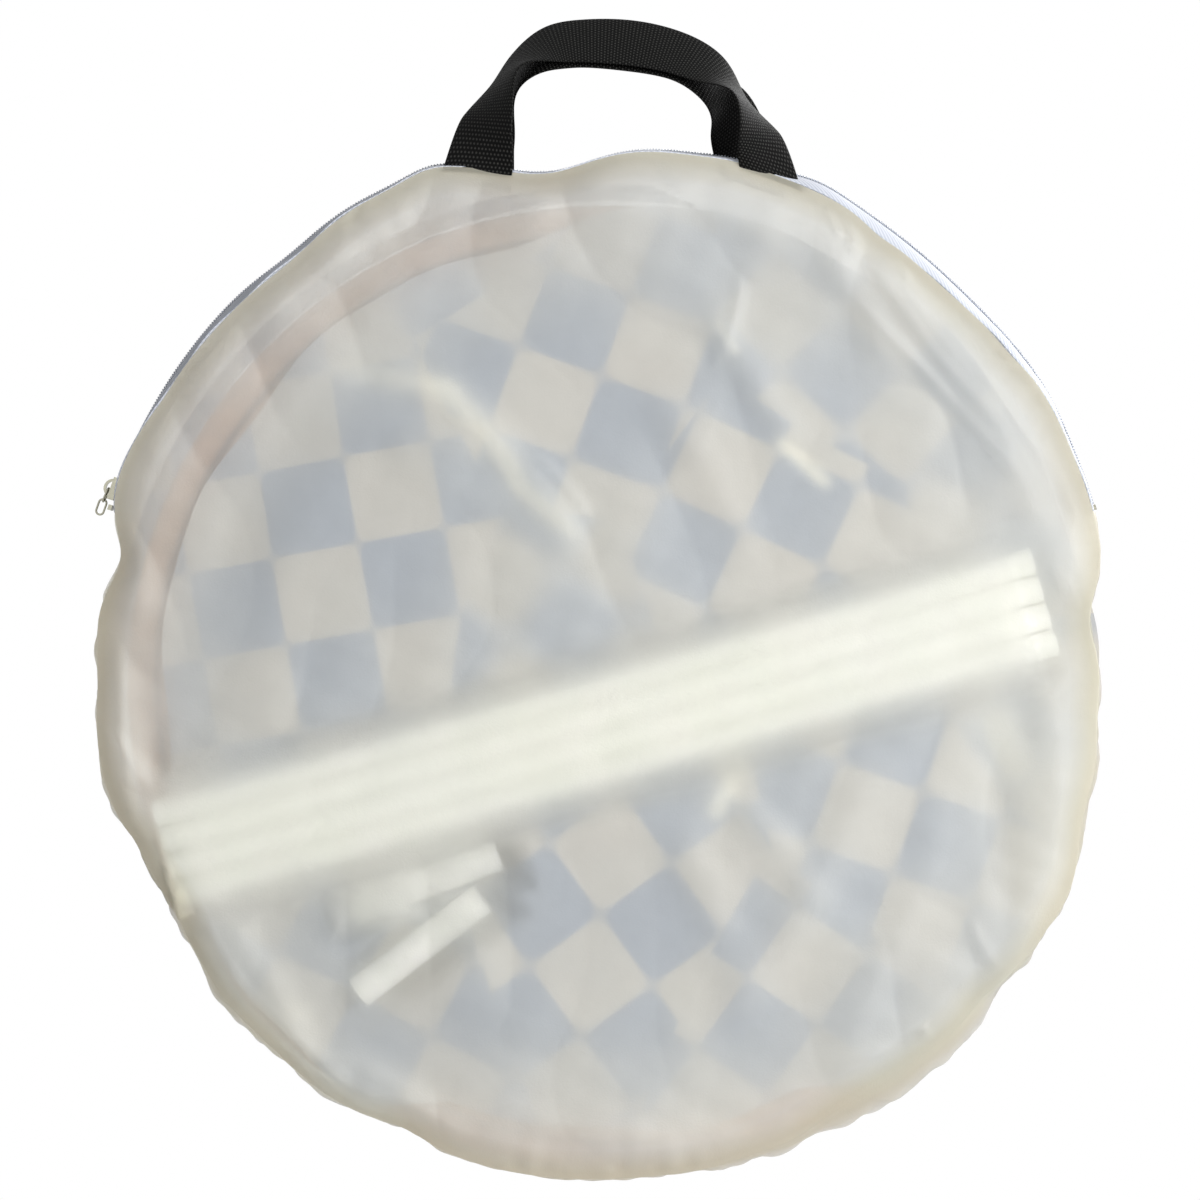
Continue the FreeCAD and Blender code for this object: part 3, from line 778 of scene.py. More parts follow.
@dataclass
class CarryBag:
    """The two round panels and the side strip, of thin see-through cloth, sewn right side out."""

    rim: Rim = field(default_factory=Rim)
    crown: float = 5.0 * MM
    shoulder: float = 20.0 * MM
    net: int = 300
    gather_height: float = 0.36 * MM
    gather_reach: float = 12 * MM
    front_creases: tuple[Crease, ...] = creases(
        (112, 185, 190, 66, 3.2, 8, 8), (132, 168, 205, 52, -2.0, 7, 6), (90, 196, 128, 128, 2.6, 8),
        (104, 205, 112, 178, 3.0, 4), (150, 30, 212, -6, 2.6, 8, -5), (186, 10, 203, -118, 3.4, 9, 6),
        (166, -24, 176, -130, -2.2, 8, 5), (120, -40, 52, -158, 3.0, 11, 5),
        (150, -60, 96, -176, 2.4, 9, 6), (60, -60, 100, -110, 2.0, 8), (-72, 122, -10, 52, 2.6, 8, 3),
        (-96, 96, -40, 96, 1.8, 8), (44, 156, 84, 92, 2.4, 8), (20, 120, 66, 40, 1.6, 9, 4),
        (-211, 6, -203, -82, 3.4, 8, -4), (-196, -30, -182, -112, -2.4, 7, -4),
        (-198, -92, -152, -168, 3.4, 8, 6), (-176, -100, -128, -172, 2.6, 8, 4),
        (-150, -160, -92, -206, 3.2, 7, 5), (-112, -172, -60, -208, 2.0, 7),
        (-214, 60, -196, 20, 2.4, 8), (-206, 92, -176, 138, 2.0, 8), (-20, -204, 96, -206, 2.6, 8, -4),
        (100, -176, 170, -150, 2.8, 8, -5), (30, -70, 66, -160, 2.2, 10, 4),
        (-150, 150, -90, 196, 2.0, 9), (-40, 200, 40, 206, 2.2, 9, -4), (-60, -40, -150, -96, 1.8, 9),
        (106, 160, 181, 80, 1.2, 3, 2), (118, 172, 168, 108, 1.0, 2.6, -2), (150, 148, 196, 84, 1.0, 3),
        (-132, -170, -118, -194, 1.5, 2.6), (-124, -176, -104, -196, 1.2, 2.6, 2),
        (98, 200, 104, 184, 1.6, 2.6), (122, 186, 134, 164, 1.6, 2.8, 2),
        (138, -158, 150, -176, 1.6, 2.8), (176, -138, 160, -112, 1.4, 3, 2),
        (-222, -22, -196, -60, 1.3, 3, 3), (-216, -66, -186, -96, 1.2, 3, 3),
        (188, 46, 214, 22, 1.2, 3), (60, 168, 48, 128, 1.0, 3, 3), (-30, 90, -6, 62, 1.1, 3, 2),
    )
    back_creases: tuple[Crease, ...] = creases(
        (-150, 120, -60, 40, 3.0, 9, 6), (80, 150, 150, 60, 2.8, 9, -5),
        (-190, -30, -120, -120, 3.0, 9, 5), (60, -60, 150, -140, 3.2, 10, -6),
        (-60, -110, 20, -190, 2.8, 9, 4), (10, 120, 60, 30, 2.4, 9, 4),
        (-200, 60, -160, 140, 2.6, 8, 4), (190, 40, 200, -60, 2.8, 8, 5),
    )
    # where the front panel lies on what is inside: middle, half width along and across, and tilt
    front_contacts: tuple[tuple[float, float, float, float, float], ...] = (
        (-132, 58, 78, 70, 10), (-10, 118, 74, 46, -21), (84, 74, 58, 64, -25),
        (184, 14, 44, 30, 16), (4, -112, 60, 64, 38), (78, -152, 50, 40, -35),
        (140, -68, 58, 46, -20), (-96, -152, 58, 46, -28), (-98, -136, 16, 12, 37),
    )
    # where the bundle of tubes holds the cloth off, and where it stands off one coupler's end
    held_off: tuple[Trough, ...] = (
        Trough((-178, -82), (176, 21), 27), Trough((-112, -106), (-90, -101), 4),
    )
    # the bundle of tubes, over which the front panel is stretched
    bundle: Trough = Trough((-192.6, -85.1), (195.6, 26.6), 27.5)
    bundle_front: float = 21.7 * MM

    def panel(self, side: Side, creases: tuple[Crease, ...], seed: int) -> Surface:
        """One round panel.

        Its height above the mid plane is the seam's half width, plus the crown times the square
        root of a smooth step over the shoulder, plus the creases, the uneven ground and the
        gathers. The gathers are waves round the seam that die away inwards as
        exp(-distance / gather reach).

        Args:
            side: front or back.
            creases: its own long folds.
            seed: scatters its small folds.

        Returns:
            The panel's surface.
        """
        u, v = round_net(self.net)
        angle = np.arctan2(v, u)
        share = np.hypot(u, v)
        edge = self.rim.seam(angle)
        # the uneven rim is taken up near the edge, and the middle stays round
        round_radius = self.rim.seam_radius
        radius = share * (round_radius + (edge - round_radius) * smooth(share * 1.6 - 0.6))
        x, z = radius * np.cos(angle), radius * np.sin(angle)
        distance = np.maximum(edge - radius, 0)
        height = self.rim.half_width + self.crown * np.sqrt(smooth(distance / self.shoulder))
        inside = smooth(distance / (14 * MM))
        relief = sum(c.relief(x, z) for c in creases)
        if side is Side.FRONT:
            contact = self.contact(x, z)
        else:
            contact = np.clip(0.25 + 0.75 * swell(x, z, 150 * MM, seed + 7), -0.3, 0.8)
            contact = np.minimum(contact, 1 - 1.35 * smooth((np.hypot(x, z) - 178 * MM) / (22 * MM)))
        loose = 1 - np.maximum(contact, 0)
        relief = relief + (0.6 + 1.4 * loose) * MM * np.abs(swell(x, z, 70 * MM, seed))
        relief = relief + (0.10 + 0.40 * loose) * MM * swell(x, z, 24 * MM, seed + 1)
        taut = self.bundle.share(x, z) if side is Side.FRONT else 0
        relief = relief * (1 - 0.85 * taut) + 1.2 * MM * loose
        rng = np.random.default_rng(seed + 2)
        gather = sum(a * np.sin(k * angle + p) for a, k, p in zip(
            rng.uniform(0.4, 1.0, 6), rng.integers(38, 120, 6), rng.uniform(0, 6.3, 6)))
        slack = smooth(0.5 + 0.6 * np.sin(3 * angle + 1.2) + 0.5 * np.sin(7 * angle + seed))
        slack = slack * np.abs(swell(x, z, 50 * MM, seed + 5))
        gather = gather * self.gather_height * slack * np.exp(-distance / self.gather_reach)
        height = height + 0.4 * MM + relief * inside + gather * smooth(distance / (4 * MM))
        if side is Side.FRONT:
            height = np.maximum(height, self.bundle_front * self.bundle.share(x, z, 4.5))
        places = np.stack([x, side.value * height, AXIS_HEIGHT + z], -1)
        surface = Surface.grid(places, np.stack([x, z], -1), turned=side is Side.BACK)
        surface.values["seam_distance"] = distance.ravel()
        surface.values["lies_on_contents"] = contact.ravel()
        return surface

    def contact(self, x: Array, z: Array) -> Array:
        """How nearly the front panel lies on what is inside: 0 to 1, -0.5 over tubes, -0.2 at the rim.

        Each contact is an ellipse whose share falls as exp(-(a^2 + b^2)^1.5), where a and b are the
        distances along and across it over its half widths. The largest share counts.

        Args:
            x: place right of the axis, in metres.
            z: place above the axis, in metres.

        Returns:
            The share.
        """
        best = np.zeros(x.shape)
        for middle_x, middle_z, long, wide, tilt in self.front_contacts:
            turn = math.radians(tilt)
            dx, dz = x - middle_x * MM, z - middle_z * MM
            a = (dx * math.cos(turn) + dz * math.sin(turn)) / (long * MM)
            b = (dz * math.cos(turn) - dx * math.sin(turn)) / (wide * MM)
            best = np.maximum(best, np.exp(-(a * a + b * b) ** 1.5))
        off = np.max([trough.share(x, z) for trough in self.held_off], axis=0)
        # towards the right and over the hoop the contents lie a little deeper, and near the rim the
        # crowned cloth stands off
        reach = np.hypot(x, z)
        best = best * (1 - 0.32 * smooth((x - 20 * MM) / (120 * MM)))
        best = best * (1 - 0.4 * smooth((reach - 166 * MM) / (14 * MM)))
        rim = 0.2 * smooth((reach - 190 * MM) / (14 * MM))
        return best * (1 - off) - np.maximum(0.5 * off, rim)

    def side_strip(self) -> Surface:
        """The strip between the zip's ends, bowed out, with folds that run across it.

        The folds are waves along the strip whose slant and height wander, and they die out at the
        two seams.

        Returns:
            The strip's surface.
        """
        along = np.linspace(ZIP_LEFT, ZIP_RIGHT + 2 * math.pi, 1100)[:, None]
        across = np.linspace(-1, 1, 34)[None, :]
        y = across * self.rim.half_width
        arc = along * self.rim.seam_radius
        belly = 1 - across ** 2
        folds = 0.9 * MM * swell(arc, y * 0.6, 22 * MM, 41) + 0.5 * MM * swell(arc, y * 1.5, 9 * MM, 42)
        lean = 0.8 * MM * swell(arc, 0 * y, 45 * MM, 43)
        places = self.rim.side_point(along, y + lean * belly)
        out = outward(along)
        places = places + out * (folds * belly)[..., None]
        surface = Surface.grid(places, np.stack([arc + 0 * y, y + 0 * arc], -1))
        surface.values["seam_distance"] = ((1 - np.abs(across)) * self.rim.half_width
                                           + 0 * along).ravel()
        surface.values["lies_on_contents"] = np.full(along.size * across.size, 0.4)
        return surface

    def build(self) -> None:
        """Make the panels and the strip, and hang them on the frame."""
        sheer = SheerCloth("coated_sheer_polyester").material()
        front = self.panel(Side.FRONT, self.front_creases, 11).piece("front_panel_cloth")
        back = self.panel(Side.BACK, self.back_creases, 23).piece("back_panel_cloth")
        strip = self.side_strip().piece("side_strip_cloth")
        for piece in (front, back, strip):
            piece.data.materials.append(sheer)
        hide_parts("front_panel_lower", "front_panel_upper")
        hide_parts("back_panel")
        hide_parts("gusset")
        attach(back, "bag")
        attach(strip, "bag")
        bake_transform(front)
        LOG.info("bag: two panels and the side strip")


@dataclass
class Zip:
    """Two woven tapes with a nylon coil along the edge of each, round the top of the bag."""

    rim: Rim = field(default_factory=Rim)
    edge_gap: float = 0.8 * MM
    coil_reach: float = 3.2 * MM
    # how far a loop reaches past the mid plane
    hold: float = 0.25 * MM
    coil_low: float = 0.1 * MM
    coil_high: float = 1.8 * MM
    wire: float = 0.56 * MM
    pitch: float = 1.3 * MM
    slider_at: float = math.radians(160.6)
    # the coils part this far before the slider, and above where it rests when opened, over this angle
    parts_before: float = math.radians(2.6)
    opened_rest: float = math.radians(23.6)
    parting: float = math.radians(1.2)

    def tape(self, side: Side) -> Surface:
        """The tape of one side: the bowed side from the seam to just short of the mid plane."""
        along = np.linspace(ZIP_RIGHT, ZIP_LEFT, 520)[:, None]
        depth = np.linspace(self.rim.half_width - 0.15 * MM, self.edge_gap, 14)[None, :]
        arc = along * self.rim.seam_radius
        places = self.rim.side_point(along, side.value * depth)
        out = outward(along)
        wander = 0.35 * MM * swell(arc, depth, 40 * MM, 51 + side.value)
        places = places + out * (wander * smooth((depth - 4 * MM) / (4 * MM)))[..., None]
        pattern = np.stack([arc + 0 * depth, depth + 0 * arc], -1)
        return Surface.grid(places, pattern, turned=side is Side.FRONT)

    def coil(self, side: Side) -> Surface:
        """A nylon thread wound in loops along the tape's edge.

        A loop's middle line is a flat ellipse, centre + out a cos p + across b sin p, that moves on
        by the pitch each turn. The two sides' loops are half a pitch apart, and reach past the mid
        plane to hold each other, except in the slider and where it comes to rest when opened.

        Returns:
            The coil's surface.
        """
        length = self.rim.seam_radius * (ZIP_LEFT - ZIP_RIGHT)
        turns = int(length / self.pitch)
        steps = 9
        t = np.linspace(0, turns, turns * steps + 1)
        phase = 2 * math.pi * t
        shift = 0.5 if side is Side.FRONT else 0.0
        angle = ZIP_RIGHT + (t + shift) / (turns + 1) * (ZIP_LEFT - ZIP_RIGHT)
        opened = smooth((angle - self.slider_at + self.parts_before) / self.parting)
        opened = np.maximum(opened, smooth((self.opened_rest - angle) / self.parting))
        inner = (self.edge_gap + self.hold) * opened - self.hold
        middle_y = (self.coil_reach + inner) / 2
        half_y = (self.coil_reach - inner) / 2 - self.wire / 2
        middle_r = (self.coil_low + self.coil_high) / 2
        half_r = (self.coil_high - self.coil_low) / 2 - self.wire / 2
        out = outward(angle)
        across = np.array([0.0, side.value, 0.0])
        radius = self.rim.crest(angle) + middle_r + half_r * np.cos(phase)
        depth = middle_y + half_y * np.sin(phase)
        line = out * radius[:, None] + across * depth[:, None] + np.array([0, 0, AXIS_HEIGHT])
        along = unit(np.gradient(line, axis=0))
        spoke = unit(out * np.cos(phase)[:, None] + across * np.sin(phase)[:, None])
        third = np.cross(along, spoke)
        spoke = unit(np.cross(third, along))
        ring = np.linspace(0, 2 * math.pi, 5, endpoint=False)
        places = line[:, None] + self.wire / 2 * (
            spoke[:, None] * np.cos(ring)[None, :, None] + third[:, None] * np.sin(ring)[None, :, None])
        return Surface.grid(places, close_columns=True)

    def build(self) -> None:
        """Make the tapes and coils and hang them on the frame."""
        twill, nylon = TwillTape().material(), NylonCoil().material()
        names = {Side.FRONT: ("zip_tape_front", "zip_tape_front_ends"), Side.BACK: ("zip_tape_back",)}
        coils = {Side.FRONT: ("zip_coil_front", "zip_coil_front_ends"), Side.BACK: ("zip_coil_back",)}
        for side in Side:
            word = side.name.lower()
            tape = self.tape(side).piece(f"zip_tape_{word}_woven")
            tape.data.materials.append(twill)
            wall = tape.modifiers.new("tape thickness", "SOLIDIFY")
            wall.thickness = 0.5 * MM
            wall.offset = -1
            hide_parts(*names[side])
            coil = self.coil(side).piece(f"zip_coil_{word}_loops")
            coil.data.materials.append(nylon)
            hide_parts(*coils[side])
            for piece in (tape, coil):
                if side is Side.BACK:
                    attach(piece, "bag")
                else:
                    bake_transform(piece)
        LOG.info("zip: two tapes and two coils")


@dataclass
class Handle:
    """One webbing handle: a ribbed band, sewn into the seam at both ends, twisted over the grip."""

    name: str
    node: str
    side: Side
    ends: Pair
    # middle of the band in mm, and the way across it
    stations: tuple[tuple[float, ...], ...]
    width: float = 30 * MM
    thick: float = 1.3 * MM
    sewn_radius: float = 225.3 * MM
    sewn_depth: float = 17.95 * MM
    tuck: float = 3.2 * MM
    tucked_depth: float = 17.1 * MM
    rows: int = 260
    rim: Rim = field(default_factory=Rim)

    def sewn_end(self, x: float) -> tuple[Array, Array]:
        """Middle of an end and the way across it, along the seam."""
        x *= MM
        height = math.sqrt(self.sewn_radius ** 2 - x * x)
        place = np.array([x, self.side.value * self.sewn_depth, AXIS_HEIGHT + height])
        return place, np.array([math.copysign(height, x), 0, -abs(x)])

    def tucked(self, end: int, wide: Array) -> Array:
        """Where the points across an end lie once it is sewn in, along the seam and just under it."""
        x = self.ends[end] * MM
        middle = math.acos(x / self.sewn_radius)
        angle = middle - math.copysign(1, x) * wide / self.sewn_radius
        radius = self.rim.seam(angle) - self.tuck
        return np.stack([radius * np.cos(angle), 0 * angle + self.side.value * self.tucked_depth,
                         AXIS_HEIGHT + radius * np.sin(angle)], -1)

    def band(self) -> Surface:
        """Carry a flat section with rounded edges along the handle's line.

        The section is a super-ellipse: (w/2 sgn(cos a) |cos a|^0.4, t/2 sgn(sin a) |sin a|^0.5).

        Returns:
            The band's surface.
        """
        table = np.array(self.stations)
        middles, ways = table[:, :3] * MM, unit(table[:, 3:])
        first, last = self.sewn_end(self.ends[0]), self.sewn_end(self.ends[1])
        middles = np.concatenate([first[0][None], middles, last[0][None]])
        ways = np.concatenate([unit(first[1])[None], ways, unit(last[1])[None]])
        line = spline_through(middles, self.rows)
        across = unit(spline_through(ways, self.rows))
        along = unit(np.gradient(line, axis=0))
        flat = unit(np.cross(along, across))
        across = unit(np.cross(flat, along))
        turn = np.linspace(0, 2 * math.pi, 32, endpoint=False)
        wide = self.width / 2 * np.sign(np.cos(turn)) * np.abs(np.cos(turn)) ** 0.4
        deep = self.thick / 2 * np.sign(np.sin(turn)) * np.abs(np.sin(turn)) ** 0.5
        run = np.concatenate([[0], np.cumsum(np.linalg.norm(np.diff(line, axis=0), axis=1))])
        # the band cups a little across its width, as a gripped strap does
        cup = 0.5 * MM * np.sin(math.pi * run / run[-1])[:, None] * (wide / (self.width / 2)) ** 2
        places = (line[:, None] + across[:, None] * wide[None, :, None]
                  + flat[:, None] * (deep[None, :] - cup)[..., None])
        # each end is drawn over to the seam, where the band is sewn in
        for end, left in ((0, run), (1, run[-1] - run)):
            sewn = self.tucked(end, wide)
            at_end = line[-end][None] + across[-end][None] * wide[:, None]
            places = places + (smooth(1 - left / (22 * MM))[:, None, None]
                               * (sewn - at_end)[None, :, :])
        around = np.append(wide, wide[0])
        pattern = np.stack(np.broadcast_arrays(around[None, :], run[:, None]), -1)
        return Surface.grid(places, pattern, close_columns=True, turned=True)

    def build(self) -> None:
        """Make the band and hang it on the frame."""
        band = self.band().piece(self.name)
        band.data.materials.append(RibbedWebbing(name=f"black_ribbed_webbing_{self.name}").material())
        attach(band, self.node)
        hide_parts(self.node)
        LOG.info("handle: %s", self.name)


# ---------------------------------------------------------------- the contents

@dataclass(frozen=True)
class HoopLine:
    """The closed line of the twisted-down hoop: three turns that change places as they go round."""

    turn_radius: float = 201 * MM
    spread: float = 8.5 * MM
    depth: float = 5.5 * MM
    turns: int = 3
    y: float = 2 * MM
    centre: Pair = (4 * MM, AXIS_HEIGHT - 9.816 * MM)

    def line(self, count: int) -> tuple[Array, Array]:
        """Points along the hoop and the way out from its axis at each.

        With a phase of (turn - 270 degrees) / 3, the radius is turn radius + spread cos(phase) and
        the depth is y + depth sin(phase).

        Args:
            count: number of points on all the turns.

        Returns:
            The points and the outward directions.
        """
        turn = np.linspace(0, 2 * math.pi * self.turns, count, endpoint=False)
        phase = (turn - math.radians(270)) / self.turns
        radius = self.turn_radius + self.spread * np.cos(phase)
        out = outward(turn)
        middle = np.array([self.centre[0], 0, self.centre[1]])
        places = middle + out * radius[:, None]
        places[:, 1] += self.y + self.depth * np.sin(phase)
        return places, out


@dataclass
class HoopSleeve:
    """Tan cloth binding folded over the spring hoop and gathered along it."""

    hoop: HoopLine = field(default_factory=HoopLine)
    width: float = 12.5 * MM
    thick: float = 4.0 * MM
    steps: int = 3000
    # whole numbers of waves, which close the sleeve on itself, and how strong each is
    gathers: tuple[Pair, ...] = ((540, 1.0), (371, 0.7), (803, 0.5))

    def sleeve(self) -> Surface:
        """Carry a flattened round section along the hoop, with gathers every 7 mm or so.

        The section is (w/2 sgn(cos a) |cos a|^0.8, t/2 sin a), open at its inner side where the two
        edges of the binding meet, and the gathers swell its thickness.

        Returns:
            The sleeve's surface.
        """
        line, out = self.hoop.line(self.steps)
        around = np.linspace(-math.pi + 0.12, math.pi - 0.12, 15)
        wave = np.arange(self.steps) / self.steps * 2 * math.pi
        run = wave * self.hoop.turns * self.hoop.turn_radius
        gather = sum(s * np.sin(n * wave + i) for i, (n, s) in enumerate(self.gathers))
        gather = gather / sum(s for _, s in self.gathers)
        wide = self.width / 2 * np.sign(np.cos(around)) * np.abs(np.cos(around)) ** 0.8
        deep = self.thick / 2 * np.sin(around)
        grow = 1 - 0.06 + 0.06 * gather[:, None] * np.sin(around)[None, :]
        wide = wide[None, :] * (1 - 0.02 + 0.02 * np.roll(gather, 3)[:, None])
        places = line[:, None] + out[:, None] * wide[..., None]
        places[..., 1] += deep[None, :] * grow
        side = np.linspace(0, 31 * MM, 15)
        pattern = np.stack(np.broadcast_arrays(np.append(run, run[-1] + 1.3 * MM)[:, None],
                                               side[None, :]), -1)
        return Surface.grid(places, pattern, close_rows=True, turned=True)

    def build(self) -> None:
        """Make the sleeve."""
        sleeve = self.sleeve().piece("hoop_sleeve_gathered")
        sleeve.data.materials.append(SleeveBinding().material())
        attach(sleeve, "bag")
        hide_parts("hoop_sleeve")
        LOG.info("hoop: gathered sleeve")


@dataclass
class FoldedCloth:
    """The limp checked cloth, folded to a thick flat pad of leaves inside the hoop."""

    centre: Pair = (4 * MM, -9.816 * MM)
    radius: float = 185 * MM
    flat_radius: float = 145 * MM
    front: float = 21.2 * MM
    edge: float = 9.6 * MM
    front_radius: float = 213 * MM
    # notches in the first leaf: middle in degrees, how wide, how soft, and how deep in mm
    notches: tuple[tuple[float, ...], ...] = ((150, 76, 34, 15.0), (272, 34, 12, 15.5))
    leaves: int = 8
    front_net: int = 190
    net: int = 84
    troughs: tuple[Trough, ...] = (
        Trough((-191, -85), (194, 26), 26, -8.6),
        Trough((-110, -147), (-52, -102), 8, -6.2),
        Trough((-112, -110), (-45, -85), 8, -3.2),
    )
    # folds of cloth that press against the bag, painted pale as a painted highlight
    fold_highlight: tuple[Crease, ...] = creases(
        (-74, 122, -34, 76, 0.9, 4, 3), (-40, 80, -10, 54, 1, 3), (50, 150, 60, 134, 1, 2),
        (76, 98, 100, 76, 0.8, 3), (170, -20, 186, -52, 1, 7), (-110, -142, -70, -120, 0.6, 6),
        (-122, 130, -60, 118, 0.5, 5), (62, -40, 48, -70, 0.6, 5), (-150, -172, -132, -150, 0.5, 6),
    )

    def front_reach(self, angle: Array) -> Array:
        """Outer radius of the first leaf, which spills over the hoop except at two soft notches."""
        degrees = np.degrees(angle) % 360
        ripple = 1.6 * MM * np.sin(9 * angle + 1) + 1.0 * MM * np.sin(17 * angle)
        cut = sum(deep * smooth((wide - np.abs(degrees - middle)) / soft)
                  for middle, wide, soft, deep in self.notches)
        return self.front_radius - cut * MM + ripple

    def leaf(self, number: int) -> Surface:
        """One leaf of the fold.

        Leaves share the depth between the pad's front and back evenly, and dip under the tubes.

        Args:
            number: 0 at the front.

        Returns:
            The leaf's surface.
        """
        u, v = round_net(self.net if number else self.front_net)
        angle = np.arctan2(v, u)
        outer = self.radius * (1 - 0.012 * number * (1 + np.sin(3 * angle + number)) / 2)
        if number in (0, self.leaves - 1):
            spill = self.front_reach(angle if number == 0 else angle + 2.2)
            outer = self.radius + (spill - self.radius) * smooth(np.hypot(u, v) * 2.5 - 1.5)
        x = u * outer + self.centre[0]
        z = v * outer + self.centre[1]
        reach = np.hypot(u, v) * outer
        fall = smooth((reach - self.flat_radius) / (self.radius - self.flat_radius))
        thick = self.front + (self.edge + (0 if number == 0 else 1.2 * MM) - self.front) * fall
        low = -thick
        for trough in self.troughs:
            low = low + (np.maximum(trough.floor * MM, low) - low) * trough.share(x, z)
        share = number / (self.leaves - 1)
        sway = 0.4 * MM * swell(x, z, 55 * MM, 61 + number)
        sway = sway + 0.25 * MM * swell(x, z, 20 * MM, 80 + number)
        y = low + (thick - low) * share + sway * (0.5 if number == 0 else 0.3 + share * (1 - share) * 2)
        places = np.stack([x, y, AXIS_HEIGHT + z], -1)
        flat = np.stack([x, z], -1)
        if number:
            turn = math.radians(37 * number)
            flat = np.stack([x * math.cos(turn) - z * math.sin(turn),
                             x * math.sin(turn) + z * math.cos(turn)], -1)
        surface = Surface.grid(places, flat, turned=share > 0.5)
        fold_highlight = sum(c.relief(x, z) for c in self.fold_highlight) / MM if number == 0 else 0 * x
        surface.values["pressed_fold"] = np.clip(fold_highlight, 0, 1).ravel() * 0.6
        return surface

    def spill(self) -> Surface:
        """The edge of the cloth that shows outside the hoop at the top and the upper left."""
        along = np.linspace(math.radians(80), math.radians(177), 150)[:, None]
        across = np.linspace(0, 1, 8)[None, :]
        end = smooth((along - along[0]) * 9) * smooth((along[-1] - along) * 9)
        radius = 213.8 * MM + across * (1.5 + 5.5 * end) * MM
        y = -1.5 * MM - 1.0 * MM * across + 0.5 * MM * np.sin(38 * along)
        x = self.centre[0] + radius * np.cos(along)
        z = self.centre[1] + radius * np.sin(along)
        surface = Surface.grid(np.stack([x, y, AXIS_HEIGHT + z], -1), np.stack([x, z], -1),
                               turned=True)
        surface.values["pressed_fold"] = np.zeros(x.size)
        return surface

    def build(self) -> None:
        """Make the leaves as one piece of cloth."""
        leaves = Surface.join([self.leaf(i) for i in range(self.leaves)] + [self.spill()])
        cloth = leaves.piece("checked_cloth_folded")
        cloth.data.materials.append(CheckedCloth().material())
        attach(cloth, "bag")
        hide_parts("folded_cloth")
        LOG.info("contents: %d leaves of checked cloth", self.leaves)


# ---------------------------------------------------------------- metal, tubes and the studio

@dataclass
class Fittings:
    """The pieces whose shape comes from the frame: slider, pull, strip, ferrule, stops and tubes."""

    nickel: Metal = Metal("nickel_plated_zinc", "9B998A", 0.26)
    steel: Metal = Metal("blued_spring_strip", "7C7F86", 0.32)
    plastic: TubePlastic = TubePlastic()

    def dress(self, frame: dict, names: tuple[str, ...], material: bpy.types.Material,
              bevel: float) -> None:
        """Give frame nodes a material and a small bevel.

        Args:
            names: the nodes.
            material: their finish.
            bevel: width of the rounded edges, in metres.
        """
        for name in names:
            node = frame["nodes"][name]
            node.data.materials.clear()
            node.data.materials.append(material)
            for slot in node.material_slots:
                slot.material = material
            edge = node.modifiers.new("rounded edges", "BEVEL")
            edge.width = bevel
            edge.segments = 2
            edge.limit_method = "ANGLE"
            edge.angle_limit = math.radians(40)

    def build(self, frame: dict) -> None:
        """Dress every node that keeps its own shape."""
        nickel = self.nickel.material()
        self.dress(frame, ("slider_body", "slider_bridge", "zip_stops"), nickel, 0.2 * MM)
        self.dress(frame, ("pull_ring", "pull_loop"), nickel, 0.1 * MM)
        self.dress(frame, ("hoop_spring", "hoop_joiner"), self.steel.material(), 0.1 * MM)
        tubes = tuple(f"pole_tube_{i}" for i in (1, 2, 3, 4))
        self.dress(frame, tubes + ("pole_coupler_1", "pole_coupler_2"), self.plastic.material(),
                   0.25 * MM)
        LOG.info("fittings: metal and tubes")


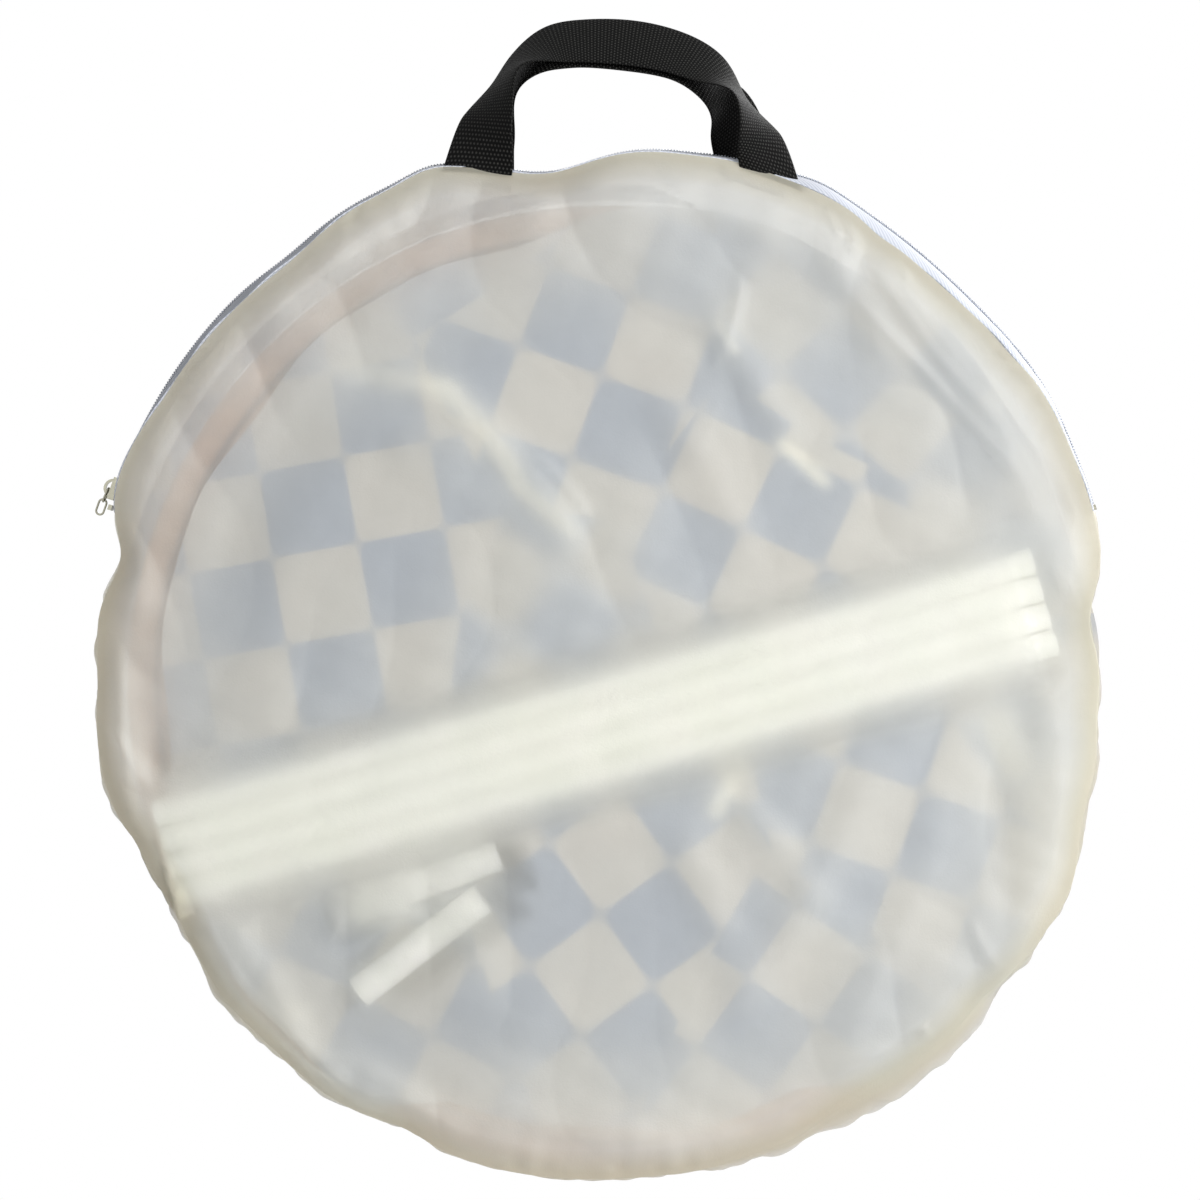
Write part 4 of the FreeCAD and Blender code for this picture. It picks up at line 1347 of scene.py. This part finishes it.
@dataclass
class Studio:
    """A pale floor, soft lamps and a long lens straight in front."""

    eye: Triple = (-0.9 * MM, -1.258, -233.1 * MM)
    lens: float = 85.0
    sensor: float = 36.0
    floor_height: float = -0.60
    floor_half: Pair = (0.7, 0.34)
    world_level: float = 0.19

    def floor(self) -> None:
        """A wide flat floor that shows white to the eye and keeps a soft shadow."""
        corner = np.array([-1.0, 1.0])
        x, y = np.meshgrid(corner * self.floor_half[0], corner * self.floor_half[1])
        places = np.stack([x, y, np.full(x.shape, self.floor_height)], -1)
        floor = Surface.grid(places, np.stack([x, y], -1)).piece("studio_floor")
        floor.data.materials.append(WhitePaper().material())
        floor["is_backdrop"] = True

    def lamp(self, name: str, place: Triple, watts: float, size: float) -> None:
        """A square soft lamp that looks at the bag's middle."""
        light = bpy.data.lights.new(name, "AREA")
        light.energy, light.size = watts, size
        lamp = bpy.data.objects.new(name, light)
        lamp.location = place
        aim = np.array([0, 0, AXIS_HEIGHT]) - np.array(place)
        lamp.rotation_euler = Vector(aim).to_track_quat("-Z", "Y").to_euler()
        bpy.context.scene.collection.objects.link(lamp)

    def build(self) -> None:
        """Set the floor, the lamps, the world and the camera."""
        self.floor()
        self.lamp("key_lamp", (1.1, -1.1, 0.1), 27, 0.9)
        self.lamp("fill_lamp", (-0.5, -1.8, 0.4), 5, 1.2)
        self.lamp("back_lamp", (0.9, 1.3, 0.4), 26, 1.0)
        scene = bpy.context.scene
        scene.world = bpy.data.worlds.new("studio_world")
        scene.world.use_nodes = True
        scene.world.node_tree.nodes.clear()
        add = partial(add_node, scene.world.node_tree)
        soft, white = [add("Background", {"Color": (1, 1, 1, 1), "Strength": level})
                       for level in (self.world_level, 1.0)]
        add("OutputWorld", {"Surface": add("MixShader", (looked_at(add), soft, white))})
        camera = bpy.data.cameras.new("long_lens")
        camera.lens, camera.sensor_width = self.lens, self.sensor
        camera.clip_start, camera.clip_end = 0.05, 20.0
        eye = bpy.data.objects.new("camera", camera)
        eye.location = self.eye
        eye.rotation_euler = (math.pi / 2, 0, 0)
        scene.collection.objects.link(eye)
        scene.camera = eye
        scene.view_settings.view_transform = "Standard"
        LOG.info("studio: floor, three lamps, world and camera")


FRONT_STATIONS = (
    (-50.5, -16.4, -22.0, -0.76, 0.62, 0.04), (-43.5, -12.6, -4.0, -0.30, 0.95, 0.15),
    (-34.5, -9.8, 6.2, -0.20, 0.90, 0.38), (-23.0, -8.4, 12.0, -0.08, 0.74, 0.67),
    (-9.0, -7.8, 14.0, 0.00, 0.66, 0.75), (12.0, -7.8, 13.2, 0.05, 0.62, 0.78),
    (33.0, -8.2, 8.6, 0.24, 0.66, 0.71), (48.6, -9.4, 0.4, 0.34, 0.78, 0.52),
    (60.0, -11.4, -10.4, 0.20, 0.97, 0.14), (68.0, -14.6, -24.0, 0.55, 0.80, -0.05),
)
BACK_STATIONS = (
    (-50.0, 14.8, -24.0, -0.80, 0.60, 0.04), (-41.0, 4.2, -6.0, -0.34, 0.93, 0.14),
    (-32.0, -3.4, 3.8, -0.16, 0.90, 0.40), (-21.6, -5.4, 9.4, -0.08, 0.74, 0.67),
    (-8.6, -5.4, 12.1, 0.00, 0.66, 0.75), (10.6, -5.2, 11.3, 0.05, 0.62, 0.78),
    (31.0, -5.4, 6.7, 0.26, 0.68, 0.68), (45.0, -4.6, -2.4, 0.42, 0.80, 0.42),
    (54.8, 0.6, -13.0, 0.62, 0.78, 0.06), (61.6, 10.6, -27.0, 0.82, 0.56, -0.12),
)


def main() -> list[list[float]]:
    """Build every sub-assembly in order, and return the frame's box straight after loading."""
    logging.basicConfig(level=logging.INFO, format="%(name)s: %(message)s")
    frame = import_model()
    before = [[float(c) for c in corner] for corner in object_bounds()]
    rim = Rim()
    CarryBag(rim).build()
    Zip(rim).build()
    Handle("front_handle_webbing", "front_handle", Side.FRONT, (-56.4, 75.2), FRONT_STATIONS).build()
    Handle("back_handle_webbing", "back_handle", Side.BACK, (-57.6, 69.6), BACK_STATIONS).build()
    HoopSleeve().build()
    FoldedCloth().build()
    Fittings().build(frame)
    Studio().build()
    return before


if __name__ == "__main__":
    cad_box = main()
